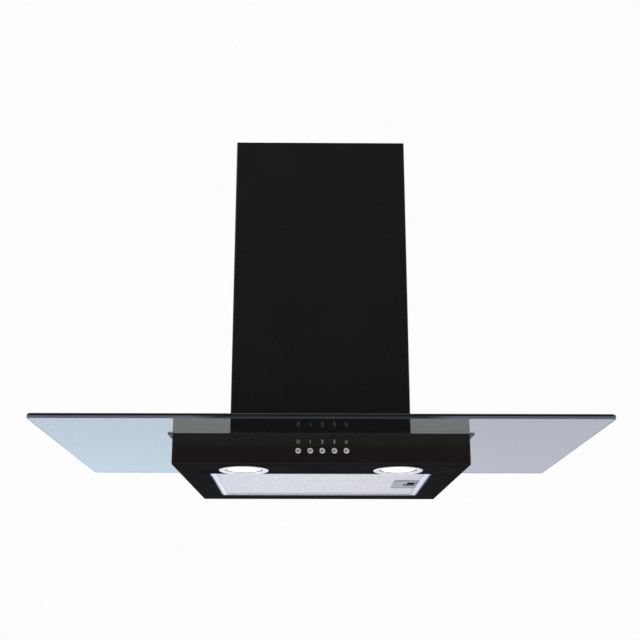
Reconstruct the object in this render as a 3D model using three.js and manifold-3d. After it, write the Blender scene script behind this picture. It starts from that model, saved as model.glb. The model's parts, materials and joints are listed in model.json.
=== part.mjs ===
// A wall-mounted chimney hood with a flat glass canopy, a grease filter, two lamps and five push buttons.
// Millimetres, +Z up, +X to the right and the front towards -Y.
// The origin is the centre of the body's back face, on the plane of the wall.
import * as THREE from "three";
import { mergeVertices } from "three/addons/utils/BufferGeometryUtils.js";
import Module from "manifold-3d";

// ---------------------------------------------------------------- driving dimensions

const GAP = 0.3; // clearance between pieces that rest on each other
const SHEET = 1.2; // enamelled and galvanised sheet steel
const OVERSHOOT = 5; // how far a cutting tool runs past the face that it cuts
const ROUND = 28; // segments of a large round piece
const SMALL_ROUND = 16; // segments of a button, screw or hole
const PIN_ROUND = 12; // segments of a pin, a spring or a knuckle

const BODY = { frontWidth: 484, backWidth: 460, depth: 400, height: 50, lip: 10 };
const GASKET = { overhang: 8, thickness: 1.4 };
const GLASS = { width: 900, depth: 508, thickness: 8, cornerRadius: 8, cutoutRadius: 10 };
const WALL_CLEARANCE = 2; // between the wall and the back edges of the glass and its gasket

// Openings on the way of the air, from the filter up to the blower.
const DECK_OPENING = region(-125, 125, -235, -35);
const GLASS_CUTOUT = region(-146, 146, -246, -24);
const CLAMP_OUTER = region(-154, 154, -254, -8);
const CLAMP_INNER = region(-128, 128, -236, -36);
const CLAMP_THICKNESS = 2;
const CLAMP_SCREW = { x: 137, rows: [-215, -60], radius: 2.5, hole: 2.9, headRadius: 5, headHeight: 3 };

const FILTER = { halfWidth: 188, front: -308, back: -40, height: 9.5, border: 10, wall: 1.2 };
const FILTER_RECESS = 1.7; // how far the filter sits above the body's underside
const FILTER_TAB = { reach: 8, width: 20, low: 2.2, thickness: 1.2, rows: [-76, 76] };
const MESH = { face: 1.5, faceThickness: 0.6, core: 4, coreThickness: 1, back: 7.4, backThickness: 0.5 };
const TRAY = { left: 133, right: 186.4, front: -43.6, back: 47.6, low: 1.5, high: 6.3, wall: 1.2, stop: 1 };
const TRAY_RECESS_RIGHT = 176.5;
const LATCH = { y: 18, halfWidth: 8, low: 6.6, high: 8.1, left: 148 };
const LATCH_NUB = { left: 161, right: 173, low: 2.4, inset: 1 };
const LATCH_SLOT_ROOM = 1; // free length at each end of the nub's travel
const LATCH_TRAVEL = 6;
const LATCH_SPRING = { left: 134.3, length: 7.5, radius: 1.4, level: 8.1 };

const LAMP = { x: 128, y: -351, holeRadius: 36.5 };

// Turned profiles of the lamp's pieces: [radius, height above the underside of the body].
const LAMP_PROFILES = {
  trim: [
    [31, -1.4],
    [37, -2.4],
    [40, -2.2],
    [41, -1.2],
    [40.6, -0.3],
    [35.7, -0.3],
    [35.7, 14],
    [34.5, 14],
    [34.5, 0.6],
    [31, 0.2],
  ],
  lens: [[0, 0.9], [33.8, 0.9], [33.8, 3], [0, 3]],
  reflector: [[33, 3.4], [34, 3.4], [30, 12], [14, 23.6], [9, 23.6], [9, 22.6], [13.4, 22.4], [29, 11.6]],
  bulb: [[0, 6], [2.6, 7], [4, 10], [4, 20], [3, 24], [0, 24]],
  socket: [[0, 24.4], [11, 24.4], [11, 36], [8, 38], [0, 38]],
};

const BUTTON = { pitch: 19.5, radius: 4.5, hole: 4.8, proud: 3.6, cap: 6.4, stemRadius: 2.6, stemEnd: 14 };
const BUTTON_DOME = [[0.6, 0.25], [0.9, 0.8], [1, 1.5]]; // share of the radius, depth below the crown
const BUTTON_ROW = { x: 1.5, z: -2.5 };
const BUTTON_NAMES = ["button_off", "button_speed_1", "button_speed_2", "button_speed_3", "button_light"];
const SWITCH = { halfWidth: 50, halfHeight: 12.5, front: 7.5, back: 29, ear: 10, foot: 2, pocket: 3 };
const SWITCH_POCKET_END = 20;
const BOARD = { halfWidth: 55, halfHeight: 14, thickness: 1.6 };

const FAN = { y: -150, z: 158, halfWidth: 52, wall: 2.5, largeRadius: 108, smallRadius: 86 };
const VOLUTE_TURN = 276; // degrees that the volute runs round before the outlet
const FAN_OUTLET_TOP = 127; // above the fan's axis
const FAN_SEAM = { width: 5, thickness: 2.5, top: 112 };
const FAN_INLET = { radius: 52, foot: 3.75, bend: 2, mouthRadius: 62, depth: 9, wall: 2.5 };
const IMPELLER = { radius: 72, bladeDepth: 14, halfWidth: 40, plate: 3, blades: 24 };
const BLADE = { lead: 6, thickness: 1.6, overlap: 1, rootOverlap: 0.5 };
const IMPELLER_HUB = { radius: 13, length: 16 };
const SHAFT = { radius: 4, from: -112, to: -25 };
const MOTOR = { radius: 42, from: -104, to: -57, bevel: 6 };
const MOTOR_BRACKET = { ring: 34, bore: 6, thickness: 2, arm: 58, armWidth: 14, arms: 3 };

const FRAME = { halfWidth: 128, front: -240, sideBack: -20, back: -4.2, top: 285, sheet: 2 };
const FRAME_STRIP_SHEET = 1.8;
const FRAME_WINDOW = { front: -205, back: -65, low: 90, high: 230 };
const FRAME_TAB = { reach: 150, front: -225, back: -50 };
const FRAME_STRIP_LOW = 180;
const LEAD_HOLE = { x: -102, y: -62, radius: 7 };

const HANGER = { x: 75, halfWidth: 30, low: 190, high: 250, plate: 2.5, armLow: 228.5, armHigh: 231 };
const HANGER_LIP = { front: -9, back: -7, high: 240 };
const HANGER_HOLE = { radius: 3, levels: [202, 214] };
const HANGER_WINDOW = { slack: 1, low: 215 };

const OUTLET = { y: -91.4, base: 72, baseThickness: 2, mouth: 48, inner: 60, outer: 62, height: 60 };
const FLAP_SEAT = { inner: 55, low: 15, high: 17 };
const FLAP = { radius: 59, low: 17.3, thickness: 1.2, edge: 4.2, knuckle: 3.2, bore: 1.8 };
const FLAP_PIN = { radius: 1.5, level: 19.9 };
const FLAP_KNUCKLES = { front: [[-48, -26], [2, 24]], back: [[-24, -2], [26, 48]] };
const ADAPTER = { low: 40, coneLow: 66, coneHigh: 84, high: 115, small: 62.5, large: 72.5, wall: 2 };

const CHIMNEY = { halfWidth: 160, front: -260, back: -1, bottom: 35.3, top: 623.5, return: 12 };
const UPPER_COVER = { inset: 2.2, backInset: 1.5, bottom: 90, top: 622.5 };
const COVER_BRACKET = { low: 585, high: 610, plate: 136, step: 5, side: 156.2, arm: 35, sheet: 1.5 };

const TERMINAL = { halfWidth: 22, halfDepth: 37, height: 36, wall: 2, glandY: 15, glandHole: 8.3 };
// The hollow gland's profile: [radius, height above the lid's underside].
const GLAND_PROFILE = [
  [4.5, -4],
  [7.6, -4],
  [7.6, 2.3],
  [11, 2.3],
  [11, 8],
  [9, 9],
  [8.4, 15],
  [6.5, 17],
  [4.5, 17],
];
const TRANSFORMER = region(196, 226, -260, -160);
const TRANSFORMER_HEIGHT = { low: -20, high: 10 };
const CAPACITOR = { x: 110, z: 262, radius: 14, front: -215, back: -165 };
const LEAD = { mains: 2.5, lamp: 1.8, sides: 8, steps: 22 };

// ---------------------------------------------------------------- levels worked out from them

const BODY_BOTTOM = -BODY.height / 2;
const BODY_TOP = BODY.height / 2;
const DECK_BOTTOM = BODY_TOP - SHEET;
const LIP_TOP = DECK_BOTTOM - GAP;
const GASKET_BOTTOM = BODY_TOP + GAP;
const GLASS_BOTTOM = GASKET_BOTTOM + GASKET.thickness + GAP;
const GLASS_TOP = GLASS_BOTTOM + GLASS.thickness;
const CLAMP_BOTTOM = GLASS_TOP + GAP;
const FRAME_BOTTOM = CLAMP_BOTTOM + CLAMP_THICKNESS + GAP;
const FILTER_BOTTOM = BODY_BOTTOM + FILTER_RECESS;

// ---------------------------------------------------------------- finishes

const FINISH = {
  enamel: { color: 0x1c191a, roughness: 0.22, metalness: 0.1 },
  glass: { color: 0xb9cbd8, roughness: 0.05, metalness: 0, transparent: true, opacity: 0.45 },
  rubber: { color: 0x6d7380, roughness: 0.7, metalness: 0 },
  galvanised: { color: 0x9aa0a4, roughness: 0.45, metalness: 0.9 },
  aluminium: { color: 0xd6d6e0, roughness: 0.35, metalness: 0.9 },
  chrome: { color: 0xe4e4e8, roughness: 0.08, metalness: 1 },
  steel: { color: 0xb4b6ba, roughness: 0.3, metalness: 1 },
  brightTrim: { color: 0xcdcbdc, roughness: 0.25, metalness: 0.9 },
  greyPlastic: { color: 0x8f99a6, roughness: 0.5, metalness: 0 },
  blackPlastic: { color: 0x17181a, roughness: 0.55, metalness: 0 },
  whitePlastic: { color: 0xd9d8d2, roughness: 0.5, metalness: 0 },
  lampGlass: { color: 0xfffbef, roughness: 0.2, metalness: 0, emissive: 0xfff2d8, emissiveIntensity: 1 },
  ceramic: { color: 0xe9e5da, roughness: 0.6, metalness: 0 },
  board: { color: 0x2c5a3a, roughness: 0.6, metalness: 0 },
};

// ---------------------------------------------------------------- solids

const wasm = await Module();
wasm.setup();

function region(left, right, front, back) {
  return { left, right, front, back };
}

function inset(area, distance) {
  return region(area.left + distance, area.right - distance, area.front + distance, area.back - distance);
}

function toSolid(geometry) {
  const bare = new THREE.BufferGeometry().setAttribute("position", geometry.getAttribute("position"));
  if (geometry.index) bare.setIndex(geometry.index);
  const merged = mergeVertices(bare, 1e-4);
  const vertProperties = merged.getAttribute("position").array;
  const triVerts = new Uint32Array(merged.index.array);
  return new wasm.Manifold(new wasm.Mesh({ numProp: 3, vertProperties, triVerts }));
}

function toGeometry(solid) {
  const mesh = solid.getMesh();
  const indexed = new THREE.BufferGeometry();
  indexed.setAttribute("position", new THREE.BufferAttribute(mesh.vertProperties, 3));
  indexed.setIndex(new THREE.BufferAttribute(mesh.triVerts, 1));
  const geometry = indexed.toNonIndexed();
  geometry.computeVertexNormals();
  return geometry;
}

function join(first, ...others) {
  return toGeometry(others.reduce((solid, other) => solid.add(toSolid(other)), toSolid(first)));
}

function cut(base, ...tools) {
  return toGeometry(tools.reduce((solid, tool) => solid.subtract(toSolid(tool)), toSolid(base)));
}

// ---------------------------------------------------------------- outlines and simple shapes

function polygon(points) {
  return new THREE.Shape(points.map(([x, y]) => new THREE.Vector2(x, y)));
}

function rectangle(area) {
  const { left, right, front, back } = area;
  return polygon([[left, front], [right, front], [right, back], [left, back]]);
}

function roundedRectangle(area, radius) {
  const { left, right, front, back } = area;
  const shape = new THREE.Shape();
  shape.absarc(right - radius, front + radius, radius, -Math.PI / 2, 0);
  shape.absarc(right - radius, back - radius, radius, 0, Math.PI / 2);
  shape.absarc(left + radius, back - radius, radius, Math.PI / 2, Math.PI);
  shape.absarc(left + radius, front + radius, radius, Math.PI, 1.5 * Math.PI);
  return shape;
}

function disc(radius, x = 0, y = 0, segments = SMALL_ROUND) {
  const angles = Array.from({ length: segments }, (_, i) => (2 * Math.PI * i) / segments);
  return polygon(angles.map((angle) => [x + radius * Math.cos(angle), y + radius * Math.sin(angle)]));
}

// A shape in the XY plane, given thickness along Z from one level to another.
function slab(shape, low, high, curveSegments = 6) {
  const options = { depth: high - low, bevelEnabled: false, curveSegments };
  return new THREE.ExtrudeGeometry(shape, options).translate(0, 0, low);
}

function block(area, low, high) {
  return slab(rectangle(area), low, high);
}

// A round bar along Z.
function bar(radius, low, high, segments = SMALL_ROUND) {
  const geometry = new THREE.CylinderGeometry(radius, radius, high - low, segments);
  return geometry.rotateX(Math.PI / 2).translate(0, 0, (low + high) / 2);
}

function barAlongX(radius, from, to, y, z, segments = SMALL_ROUND) {
  return bar(radius, from, to, segments).rotateY(Math.PI / 2).translate(0, y, z);
}

function barAlongY(radius, from, to, x, z, segments = SMALL_ROUND) {
  return bar(radius, -to, -from, segments).rotateX(Math.PI / 2).translate(x, 0, z);
}

// A profile of [radius, level] pairs turned about Z; it runs anticlockwise, with the axis on its left.
function turned(profile, segments = ROUND) {
  const points = profile.map(([radius, level]) => new THREE.Vector2(radius, level));
  return new THREE.LatheGeometry(points, segments).rotateX(Math.PI / 2);
}

// A ring or a bowl: the profile closes on itself.
function turnedRing(profile, segments = ROUND) {
  return turned([...profile, profile[0]], segments);
}

function tube(radius, points) {
  const path = new THREE.CatmullRomCurve3(points.map(([x, y, z]) => new THREE.Vector3(x, y, z)));
  const section = disc(radius, 0, 0, LEAD.sides);
  return new THREE.ExtrudeGeometry(section, { steps: LEAD.steps, extrudePath: path });
}

function addPart(group, name, finish, geometry, position = [0, 0, 0]) {
  const mesh = new THREE.Mesh(geometry, new THREE.MeshStandardMaterial(FINISH[finish]));
  mesh.name = name;
  mesh.position.set(...position);
  group.add(mesh);
  return mesh;
}

function subGroup(parent, position = [0, 0, 0]) {
  const group = new THREE.Group();
  group.position.set(...position);
  parent.add(group);
  return group;
}

// ---------------------------------------------------------------- body

function bodyHalfWidth(y) {
  return (BODY.frontWidth + ((BODY.backWidth - BODY.frontWidth) * (y + BODY.depth)) / BODY.depth) / 2;
}

// The body's plan, narrower towards the wall, moved in by an offset on the front and the sides.
function bodyOutline(offset, back = 0) {
  const front = offset - BODY.depth;
  const frontHalf = bodyHalfWidth(front) - offset;
  const backHalf = bodyHalfWidth(back) - offset;
  return polygon([[-frontHalf, front], [frontHalf, front], [backHalf, back], [-backHalf, back]]);
}

function buttonX(index) {
  return BUTTON.pitch * (index - (BUTTON_NAMES.length - 1) / 2);
}

function filterArea() {
  return region(-FILTER.halfWidth, FILTER.halfWidth, FILTER.front, FILTER.back);
}

function bodyShell() {
  const lampHoles = [-LAMP.x, LAMP.x].map((x) =>
    bar(LAMP.holeRadius, BODY_BOTTOM - OVERSHOOT, BODY_BOTTOM + OVERSHOOT, ROUND).translate(x, LAMP.y, 0),
  );
  const front = -BODY.depth;
  const buttonHoles = BUTTON_NAMES.map((_, i) =>
    barAlongY(BUTTON.hole, front - OVERSHOOT, front + OVERSHOOT, BUTTON_ROW.x + buttonX(i), BUTTON_ROW.z),
  );
  return cut(
    slab(bodyOutline(0), BODY_BOTTOM, BODY_TOP),
    slab(bodyOutline(SHEET, OVERSHOOT), BODY_BOTTOM + SHEET, LIP_TOP - SHEET),
    slab(bodyOutline(SHEET + BODY.lip, OVERSHOOT), LIP_TOP - 2 * SHEET, DECK_BOTTOM),
    slab(bodyOutline(SHEET, OVERSHOOT), LIP_TOP, BODY_TOP + OVERSHOOT),
    block(inset(filterArea(), -GAP), BODY_BOTTOM - OVERSHOOT, BODY_BOTTOM + OVERSHOOT),
    ...lampHoles,
    ...buttonHoles,
  );
}

function clampScrewPlaces() {
  return CLAMP_SCREW.rows.flatMap((y) => [[-CLAMP_SCREW.x, y], [CLAMP_SCREW.x, y]]);
}

function withScrewHoles(shape) {
  shape.holes.push(...clampScrewPlaces().map(([x, y]) => disc(CLAMP_SCREW.hole, x, y)));
  return shape;
}

function topDeck() {
  const shape = withScrewHoles(bodyOutline(SHEET + GAP));
  shape.holes.push(rectangle(DECK_OPENING));
  return slab(shape, DECK_BOTTOM, BODY_TOP);
}

function backPanel() {
  const half = BODY.backWidth / 2 - SHEET - GAP;
  const fixingX = 190;
  const fixingRadius = 3;
  const holes = [-fixingX, fixingX].map((x) => barAlongY(fixingRadius, -OVERSHOOT, OVERSHOOT, x, 0));
  const low = BODY_BOTTOM + SHEET + GAP;
  return cut(block(region(-half, half, -SHEET, 0), low, LIP_TOP - SHEET - GAP), ...holes);
}

function addBody(root) {
  addPart(root, "body_shell", "enamel", bodyShell());
  addPart(root, "top_deck", "galvanised", topDeck());
  addPart(root, "back_panel", "galvanised", backPanel());
}

// ---------------------------------------------------------------- glass canopy and what holds it

function glassGasket() {
  const frontHalf = BODY.frontWidth / 2 + GASKET.overhang;
  const backHalf = BODY.backWidth / 2 + GASKET.overhang;
  const front = -BODY.depth;
  const back = -WALL_CLEARANCE;
  const shape = polygon([[-frontHalf, front], [frontHalf, front], [backHalf, back], [-backHalf, back]]);
  shape.holes.push(roundedRectangle(GLASS_CUTOUT, GLASS.cutoutRadius));
  return slab(shape, 0, GASKET.thickness);
}

function glassPane() {
  const back = -WALL_CLEARANCE;
  const half = GLASS.width / 2;
  const shape = roundedRectangle(region(-half, half, back - GLASS.depth, back), GLASS.cornerRadius);
  shape.holes.push(roundedRectangle(GLASS_CUTOUT, GLASS.cutoutRadius));
  return slab(shape, 0, GLASS.thickness);
}

function clampFrame() {
  const shape = withScrewHoles(rectangle(CLAMP_OUTER));
  shape.holes.push(rectangle(CLAMP_INNER));
  return slab(shape, 0, CLAMP_THICKNESS);
}

// A pan-head screw: its shank starts below the deck and its head rests on the blower frame's tab.
function clampScrew() {
  const shankLow = DECK_BOTTOM - OVERSHOOT;
  const headLow = FRAME_BOTTOM + FRAME.sheet + GAP;
  const headHigh = headLow + CLAMP_SCREW.headHeight;
  const profile = [
    [0, shankLow],
    [CLAMP_SCREW.radius, shankLow],
    [CLAMP_SCREW.radius, headLow],
    [CLAMP_SCREW.headRadius, headLow],
    [CLAMP_SCREW.headRadius, headHigh - 1],
    [CLAMP_SCREW.headRadius - 1, headHigh],
    [0, headHigh],
  ];
  return turned(profile, SMALL_ROUND);
}

function addGlass(root) {
  addPart(root, "glass_gasket", "rubber", glassGasket(), [0, 0, GASKET_BOTTOM]);
  addPart(root, "glass_canopy", "glass", glassPane(), [0, 0, GLASS_BOTTOM]);
  addPart(root, "glass_clamp_frame", "galvanised", clampFrame(), [0, 0, CLAMP_BOTTOM]);
  clampScrewPlaces().forEach(([x, y], i) =>
    addPart(root, `clamp_screw_${i + 1}`, "steel", clampScrew(), [x, y, 0]),
  );
}

// ---------------------------------------------------------------- grease filter

const FILTER_DEPTH = FILTER.back - FILTER.front;
const FILTER_PLAN = region(-FILTER.halfWidth, FILTER.halfWidth, -FILTER_DEPTH / 2, FILTER_DEPTH / 2);
const FILTER_CHANNEL = inset(FILTER_PLAN, FILTER.wall);

// A C-section frame with its open side inwards, two hooking tabs on the left and a slot for the latch.
function filterFrame() {
  const ring = rectangle(FILTER_PLAN);
  ring.holes.push(rectangle(inset(FILTER_PLAN, FILTER.border)));
  const tabs = FILTER_TAB.rows.map((y) => {
    const half = FILTER_TAB.width / 2;
    const left = -FILTER.halfWidth - FILTER_TAB.reach;
    const plan = region(left, -FILTER.halfWidth + FILTER.wall / 2, y - half, y + half);
    return block(plan, FILTER_TAB.low, FILTER_TAB.low + FILTER_TAB.thickness);
  });
  const channel = block(FILTER_CHANNEL, FILTER.wall, FILTER.height - FILTER.wall);
  const slotFront = LATCH.y - LATCH.halfWidth - GAP;
  const slotBack = LATCH.y + LATCH.halfWidth + GAP;
  const slotPlan = region(FILTER.halfWidth - OVERSHOOT, FILTER.halfWidth + OVERSHOOT, slotFront, slotBack);
  const slot = block(slotPlan, LATCH.low - GAP, FILTER.height - FILTER.wall);
  return join(cut(slab(ring, 0, FILTER.height), channel, slot), ...tabs);
}

function filterLayer(thickness) {
  const layer = block(inset(FILTER_CHANNEL, GAP), 0, thickness);
  const left = TRAY.left - 1;
  const latchPlan = region(left, FILTER.halfWidth + OVERSHOOT, TRAY.front - 1, TRAY.back + 1);
  return cut(layer, block(latchPlan, -OVERSHOOT, thickness + OVERSHOOT));
}

// The recessed finger tray: open below, with a slot for the slider's nub and a stop for its spring.
function latchTray() {
  const outer = region(TRAY.left, TRAY.right, TRAY.front, TRAY.back);
  const { left, front, back } = inset(outer, TRAY.wall);
  const recess = block(region(left, TRAY_RECESS_RIGHT, front, back), 0, TRAY.high - TRAY.wall);
  const slotFront = LATCH.y - LATCH.halfWidth;
  const slotBack = LATCH.y + LATCH.halfWidth;
  const slotLeft = LATCH_NUB.left - LATCH_TRAVEL - LATCH_SLOT_ROOM;
  const slotPlan = region(slotLeft, LATCH_NUB.right + LATCH_SLOT_ROOM, slotFront, slotBack);
  const slot = block(slotPlan, 0, TRAY.high + OVERSHOOT);
  const stopHalf = LATCH.halfWidth / 2;
  const stopPlan = region(TRAY.left, TRAY.left + TRAY.stop, LATCH.y - stopHalf, LATCH.y + stopHalf);
  const stop = block(stopPlan, TRAY.high - TRAY.wall, FILTER.height);
  return join(cut(block(outer, TRAY.low, TRAY.high), recess, slot), stop);
}

function latchSlider() {
  const front = LATCH.y - LATCH.halfWidth;
  const back = LATCH.y + LATCH.halfWidth;
  const plate = block(region(LATCH.left, FILTER.halfWidth, front, back), LATCH.low, LATCH.high);
  const nubPlan = region(LATCH_NUB.left, LATCH_NUB.right, front + LATCH_NUB.inset, back - LATCH_NUB.inset);
  return join(plate, block(nubPlan, LATCH_NUB.low, LATCH.high));
}

function latchSpring() {
  const { left, length, radius, level } = LATCH_SPRING;
  return barAlongX(radius, left, left + length, LATCH.y, level, PIN_ROUND);
}

function addFilter(root) {
  const filter = subGroup(root, [0, (FILTER.front + FILTER.back) / 2, FILTER_BOTTOM]);
  addPart(filter, "filter_frame", "aluminium", filterFrame());
  addPart(filter, "filter_mesh_face", "aluminium", filterLayer(MESH.faceThickness), [0, 0, MESH.face]);
  addPart(filter, "filter_core", "aluminium", filterLayer(MESH.coreThickness), [0, 0, MESH.core]);
  addPart(filter, "filter_mesh_back", "aluminium", filterLayer(MESH.backThickness), [0, 0, MESH.back]);
  addPart(filter, "latch_tray", "greyPlastic", latchTray());
  addPart(filter, "latch_slider", "blackPlastic", latchSlider());
  addPart(filter, "latch_spring", "steel", latchSpring());
}

// ---------------------------------------------------------------- lamps, at the level of the underside

function addLamps(root) {
  for (const [side, x] of [["left", -LAMP.x], ["right", LAMP.x]]) {
    const lamp = subGroup(root, [x, LAMP.y, BODY_BOTTOM]);
    addPart(lamp, `lamp_trim_${side}`, "brightTrim", turnedRing(LAMP_PROFILES.trim));
    addPart(lamp, `lamp_lens_${side}`, "lampGlass", turned(LAMP_PROFILES.lens));
    addPart(lamp, `lamp_reflector_${side}`, "brightTrim", turnedRing(LAMP_PROFILES.reflector));
    addPart(lamp, `lamp_bulb_${side}`, "lampGlass", turned(LAMP_PROFILES.bulb, SMALL_ROUND));
    addPart(lamp, `lamp_socket_${side}`, "ceramic", turned(LAMP_PROFILES.socket, SMALL_ROUND));
  }
  const { low, high } = TRANSFORMER_HEIGHT;
  addPart(root, "lamp_transformer", "blackPlastic", block(TRANSFORMER, 0, high - low), [0, 0, low]);
}

// ---------------------------------------------------------------- controls, behind the front face

// A domed cap and its stem, turned about Z and laid along Y: the dome looks to the front.
function pushButton() {
  const { radius, proud, cap, stemRadius, stemEnd } = BUTTON;
  const capEnd = cap - proud;
  const profile = [
    [0, -proud],
    ...BUTTON_DOME.map(([share, depth]) => [radius * share, depth - proud]),
    [radius, capEnd],
    [stemRadius, capEnd],
    [stemRadius, stemEnd],
    [0, stemEnd],
  ];
  return turned(profile, SMALL_ROUND).rotateX(-Math.PI / 2);
}

function switchHousing() {
  const { halfWidth, halfHeight, front, back, ear, foot, pocket } = SWITCH;
  const core = block(region(-halfWidth, halfWidth, front, back), -halfHeight, halfHeight);
  const earPlan = region(-halfWidth - ear, halfWidth + ear, SHEET + GAP, front);
  const earBand = block(earPlan, -halfHeight, halfHeight);
  const buttonRoom = block(region(-halfWidth, halfWidth, 0, front), -halfHeight - 1, halfHeight + 1);
  const footPlan = region(-halfWidth - ear, halfWidth + ear, front - foot / 2, front + foot);
  const earFoot = block(footPlan, -halfHeight, halfHeight);
  const pockets = BUTTON_NAMES.map((_, i) =>
    barAlongY(pocket, front - foot, SWITCH_POCKET_END, buttonX(i), 0),
  );
  return cut(join(cut(earBand, buttonRoom), core, earFoot), ...pockets);
}

function switchBoard() {
  const front = SWITCH.back + GAP;
  const plan = region(-BOARD.halfWidth, BOARD.halfWidth, front, front + BOARD.thickness);
  return block(plan, -BOARD.halfHeight, BOARD.halfHeight);
}

function addControls(root) {
  const controls = subGroup(root, [BUTTON_ROW.x, -BODY.depth, BUTTON_ROW.z]);
  BUTTON_NAMES.forEach((name, i) => addPart(controls, name, "chrome", pushButton(), [buttonX(i), 0, 0]));
  addPart(controls, "switch_housing", "blackPlastic", switchHousing());
  addPart(controls, "switch_board", "board", switchBoard());
}

// ---------------------------------------------------------------- blower, in the fan's own axes
// The fan group's x runs along the part's Y, its y along the part's Z and its z along the part's X.

// The volute's radius shrinks as it runs down from the wall side, under the fan and up the front.
function voluteOutline(offset, top) {
  const { largeRadius, smallRadius } = FAN;
  const steps = 23;
  const points = Array.from({ length: steps + 1 }, (_, i) => {
    const share = i / steps;
    const angle = THREE.MathUtils.degToRad(-VOLUTE_TURN * share);
    const radius = THREE.MathUtils.lerp(largeRadius, smallRadius, share) + offset;
    return [radius * Math.cos(angle), radius * Math.sin(angle)];
  });
  const innerWall = smallRadius * Math.cos(THREE.MathUtils.degToRad(VOLUTE_TURN)) - offset;
  points.push([innerWall, top], [largeRadius + offset, top]);
  return polygon(points.reverse());
}

// One half of the scroll: a side plate, half of the volute's wall and half of the seam flange.
function scrollHalf(side, sideHole) {
  const { halfWidth, wall } = FAN;
  const slabOnSide = (shape, near, far) => {
    const [low, high] = side < 0 ? [-far, -near] : [near, far];
    return slab(shape, low, high);
  };
  const hollow = slabOnSide(voluteOutline(-wall, FAN_OUTLET_TOP + OVERSHOOT), -OVERSHOOT, halfWidth - wall);
  const hole = slabOnSide(disc(sideHole, 0, 0, ROUND), 0, halfWidth + OVERSHOOT);
  const shell = slabOnSide(voluteOutline(0, FAN_OUTLET_TOP), GAP / 2, halfWidth);
  const seam = slabOnSide(voluteOutline(FAN_SEAM.width, FAN_SEAM.top), GAP / 2, FAN_SEAM.thickness);
  return cut(join(shell, seam), hollow, hole);
}

function bellMouth() {
  const { radius, foot, bend, mouthRadius, depth, wall } = FAN_INLET;
  const low = FAN.halfWidth - wall;
  return turnedRing([
    [radius, low],
    [radius + foot, low],
    [mouthRadius, low + depth],
    [mouthRadius, low + depth + wall],
    [mouthRadius - wall, low + depth + wall],
    [radius, low + wall + bend],
  ]);
}

function impellerBlade(index) {
  const { radius, bladeDepth, blades, halfWidth } = IMPELLER;
  const { lead, thickness, overlap, rootOverlap } = BLADE;
  const root = radius - bladeDepth + rootOverlap;
  const tip = radius - overlap;
  const blade = polygon([[tip, lead], [tip, lead + thickness], [root, thickness], [root, 0]]);
  return slab(blade, overlap - halfWidth, halfWidth - overlap).rotateZ((2 * Math.PI * index) / blades);
}

function impellerWheel() {
  const { radius, bladeDepth, halfWidth, plate, blades } = IMPELLER;
  const hub = bar(IMPELLER_HUB.radius, -halfWidth, -halfWidth + IMPELLER_HUB.length);
  const backPlate = bar(radius, -halfWidth, -halfWidth + plate, ROUND);
  const rimShape = disc(radius, 0, 0, ROUND);
  rimShape.holes.push(disc(radius - bladeDepth, 0, 0, ROUND));
  const rim = slab(rimShape, halfWidth - plate, halfWidth);
  const allBlades = Array.from({ length: blades }, (_, i) => impellerBlade(i));
  const bore = bar(SHAFT.radius + GAP, -halfWidth - OVERSHOOT, halfWidth);
  return cut(join(backPlate, hub, rim, ...allBlades), bore);
}

function motorCase() {
  const { radius, from, to, bevel } = MOTOR;
  const bore = SHAFT.radius + 2 * GAP;
  return turnedRing([
    [bore, from],
    [radius - bevel, from],
    [radius, from + bevel],
    [radius, to - bevel],
    [radius - bevel, to],
    [bore, to],
  ]);
}

function motorBracket() {
  const { ring, bore, thickness, arm, armWidth, arms } = MOTOR_BRACKET;
  const low = MOTOR.to + GAP;
  const spokePlan = region(0, arm, -armWidth / 2, armWidth / 2);
  const spokes = Array.from({ length: arms }, (_, i) =>
    block(spokePlan, low, low + thickness).rotateZ((2 * Math.PI * i) / arms),
  );
  const shaftHole = bar(bore, low - OVERSHOOT, low + OVERSHOOT);
  return cut(join(bar(ring, low, low + thickness, ROUND), ...spokes), shaftHole);
}

function addBlower(root) {
  const fan = subGroup(root, [0, FAN.y, FAN.z]);
  fan.quaternion.set(0.5, 0.5, 0.5, 0.5);
  addPart(fan, "scroll_left", "blackPlastic", scrollHalf(-1, IMPELLER_HUB.radius + 2));
  addPart(fan, "scroll_right", "blackPlastic", join(scrollHalf(1, FAN_INLET.radius), bellMouth()));
  addPart(fan, "impeller", "greyPlastic", impellerWheel());
  addPart(fan, "motor_shaft", "steel", bar(SHAFT.radius, SHAFT.from, SHAFT.to));
  addPart(fan, "motor_case", "steel", motorCase());
  addPart(fan, "motor_bracket", "galvanised", motorBracket());
  const { x, z, radius, front, back } = CAPACITOR;
  addPart(root, "capacitor", "whitePlastic", barAlongY(radius, front, back, 0, 0), [x, 0, z]);
}

// ---------------------------------------------------------------- blower frame and wall hangers

function frameSide(sign) {
  const { halfWidth, front, sideBack, back, top, sheet } = FRAME;
  const inner = halfWidth - sheet;
  const strip = (near, far, y0, y1) => region(Math.min(near, far), Math.max(near, far), y0, y1);
  const plate = block(strip(sign * inner, sign * halfWidth, front, sideBack), FRAME_BOTTOM, top);
  const rear = block(strip(sign * inner, sign * halfWidth, sideBack - 1, back), FRAME_STRIP_LOW, top);
  const tabPlan = strip(sign * inner, sign * FRAME_TAB.reach, FRAME_TAB.front, FRAME_TAB.back);
  const tab = block(tabPlan, FRAME_BOTTOM, FRAME_BOTTOM + sheet);
  const windowNear = sign * (inner - OVERSHOOT);
  const windowFar = sign * (halfWidth + OVERSHOOT);
  const windowPlan = strip(windowNear, windowFar, FRAME_WINDOW.front, FRAME_WINDOW.back);
  const screwHoles = CLAMP_SCREW.rows.map((y) => {
    const hole = bar(CLAMP_SCREW.hole, FRAME_BOTTOM - OVERSHOOT, FRAME_BOTTOM + OVERSHOOT);
    return hole.translate(sign * CLAMP_SCREW.x, y, 0);
  });
  return cut(join(plate, rear, tab), block(windowPlan, FRAME_WINDOW.low, FRAME_WINDOW.high), ...screwHoles);
}

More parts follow.
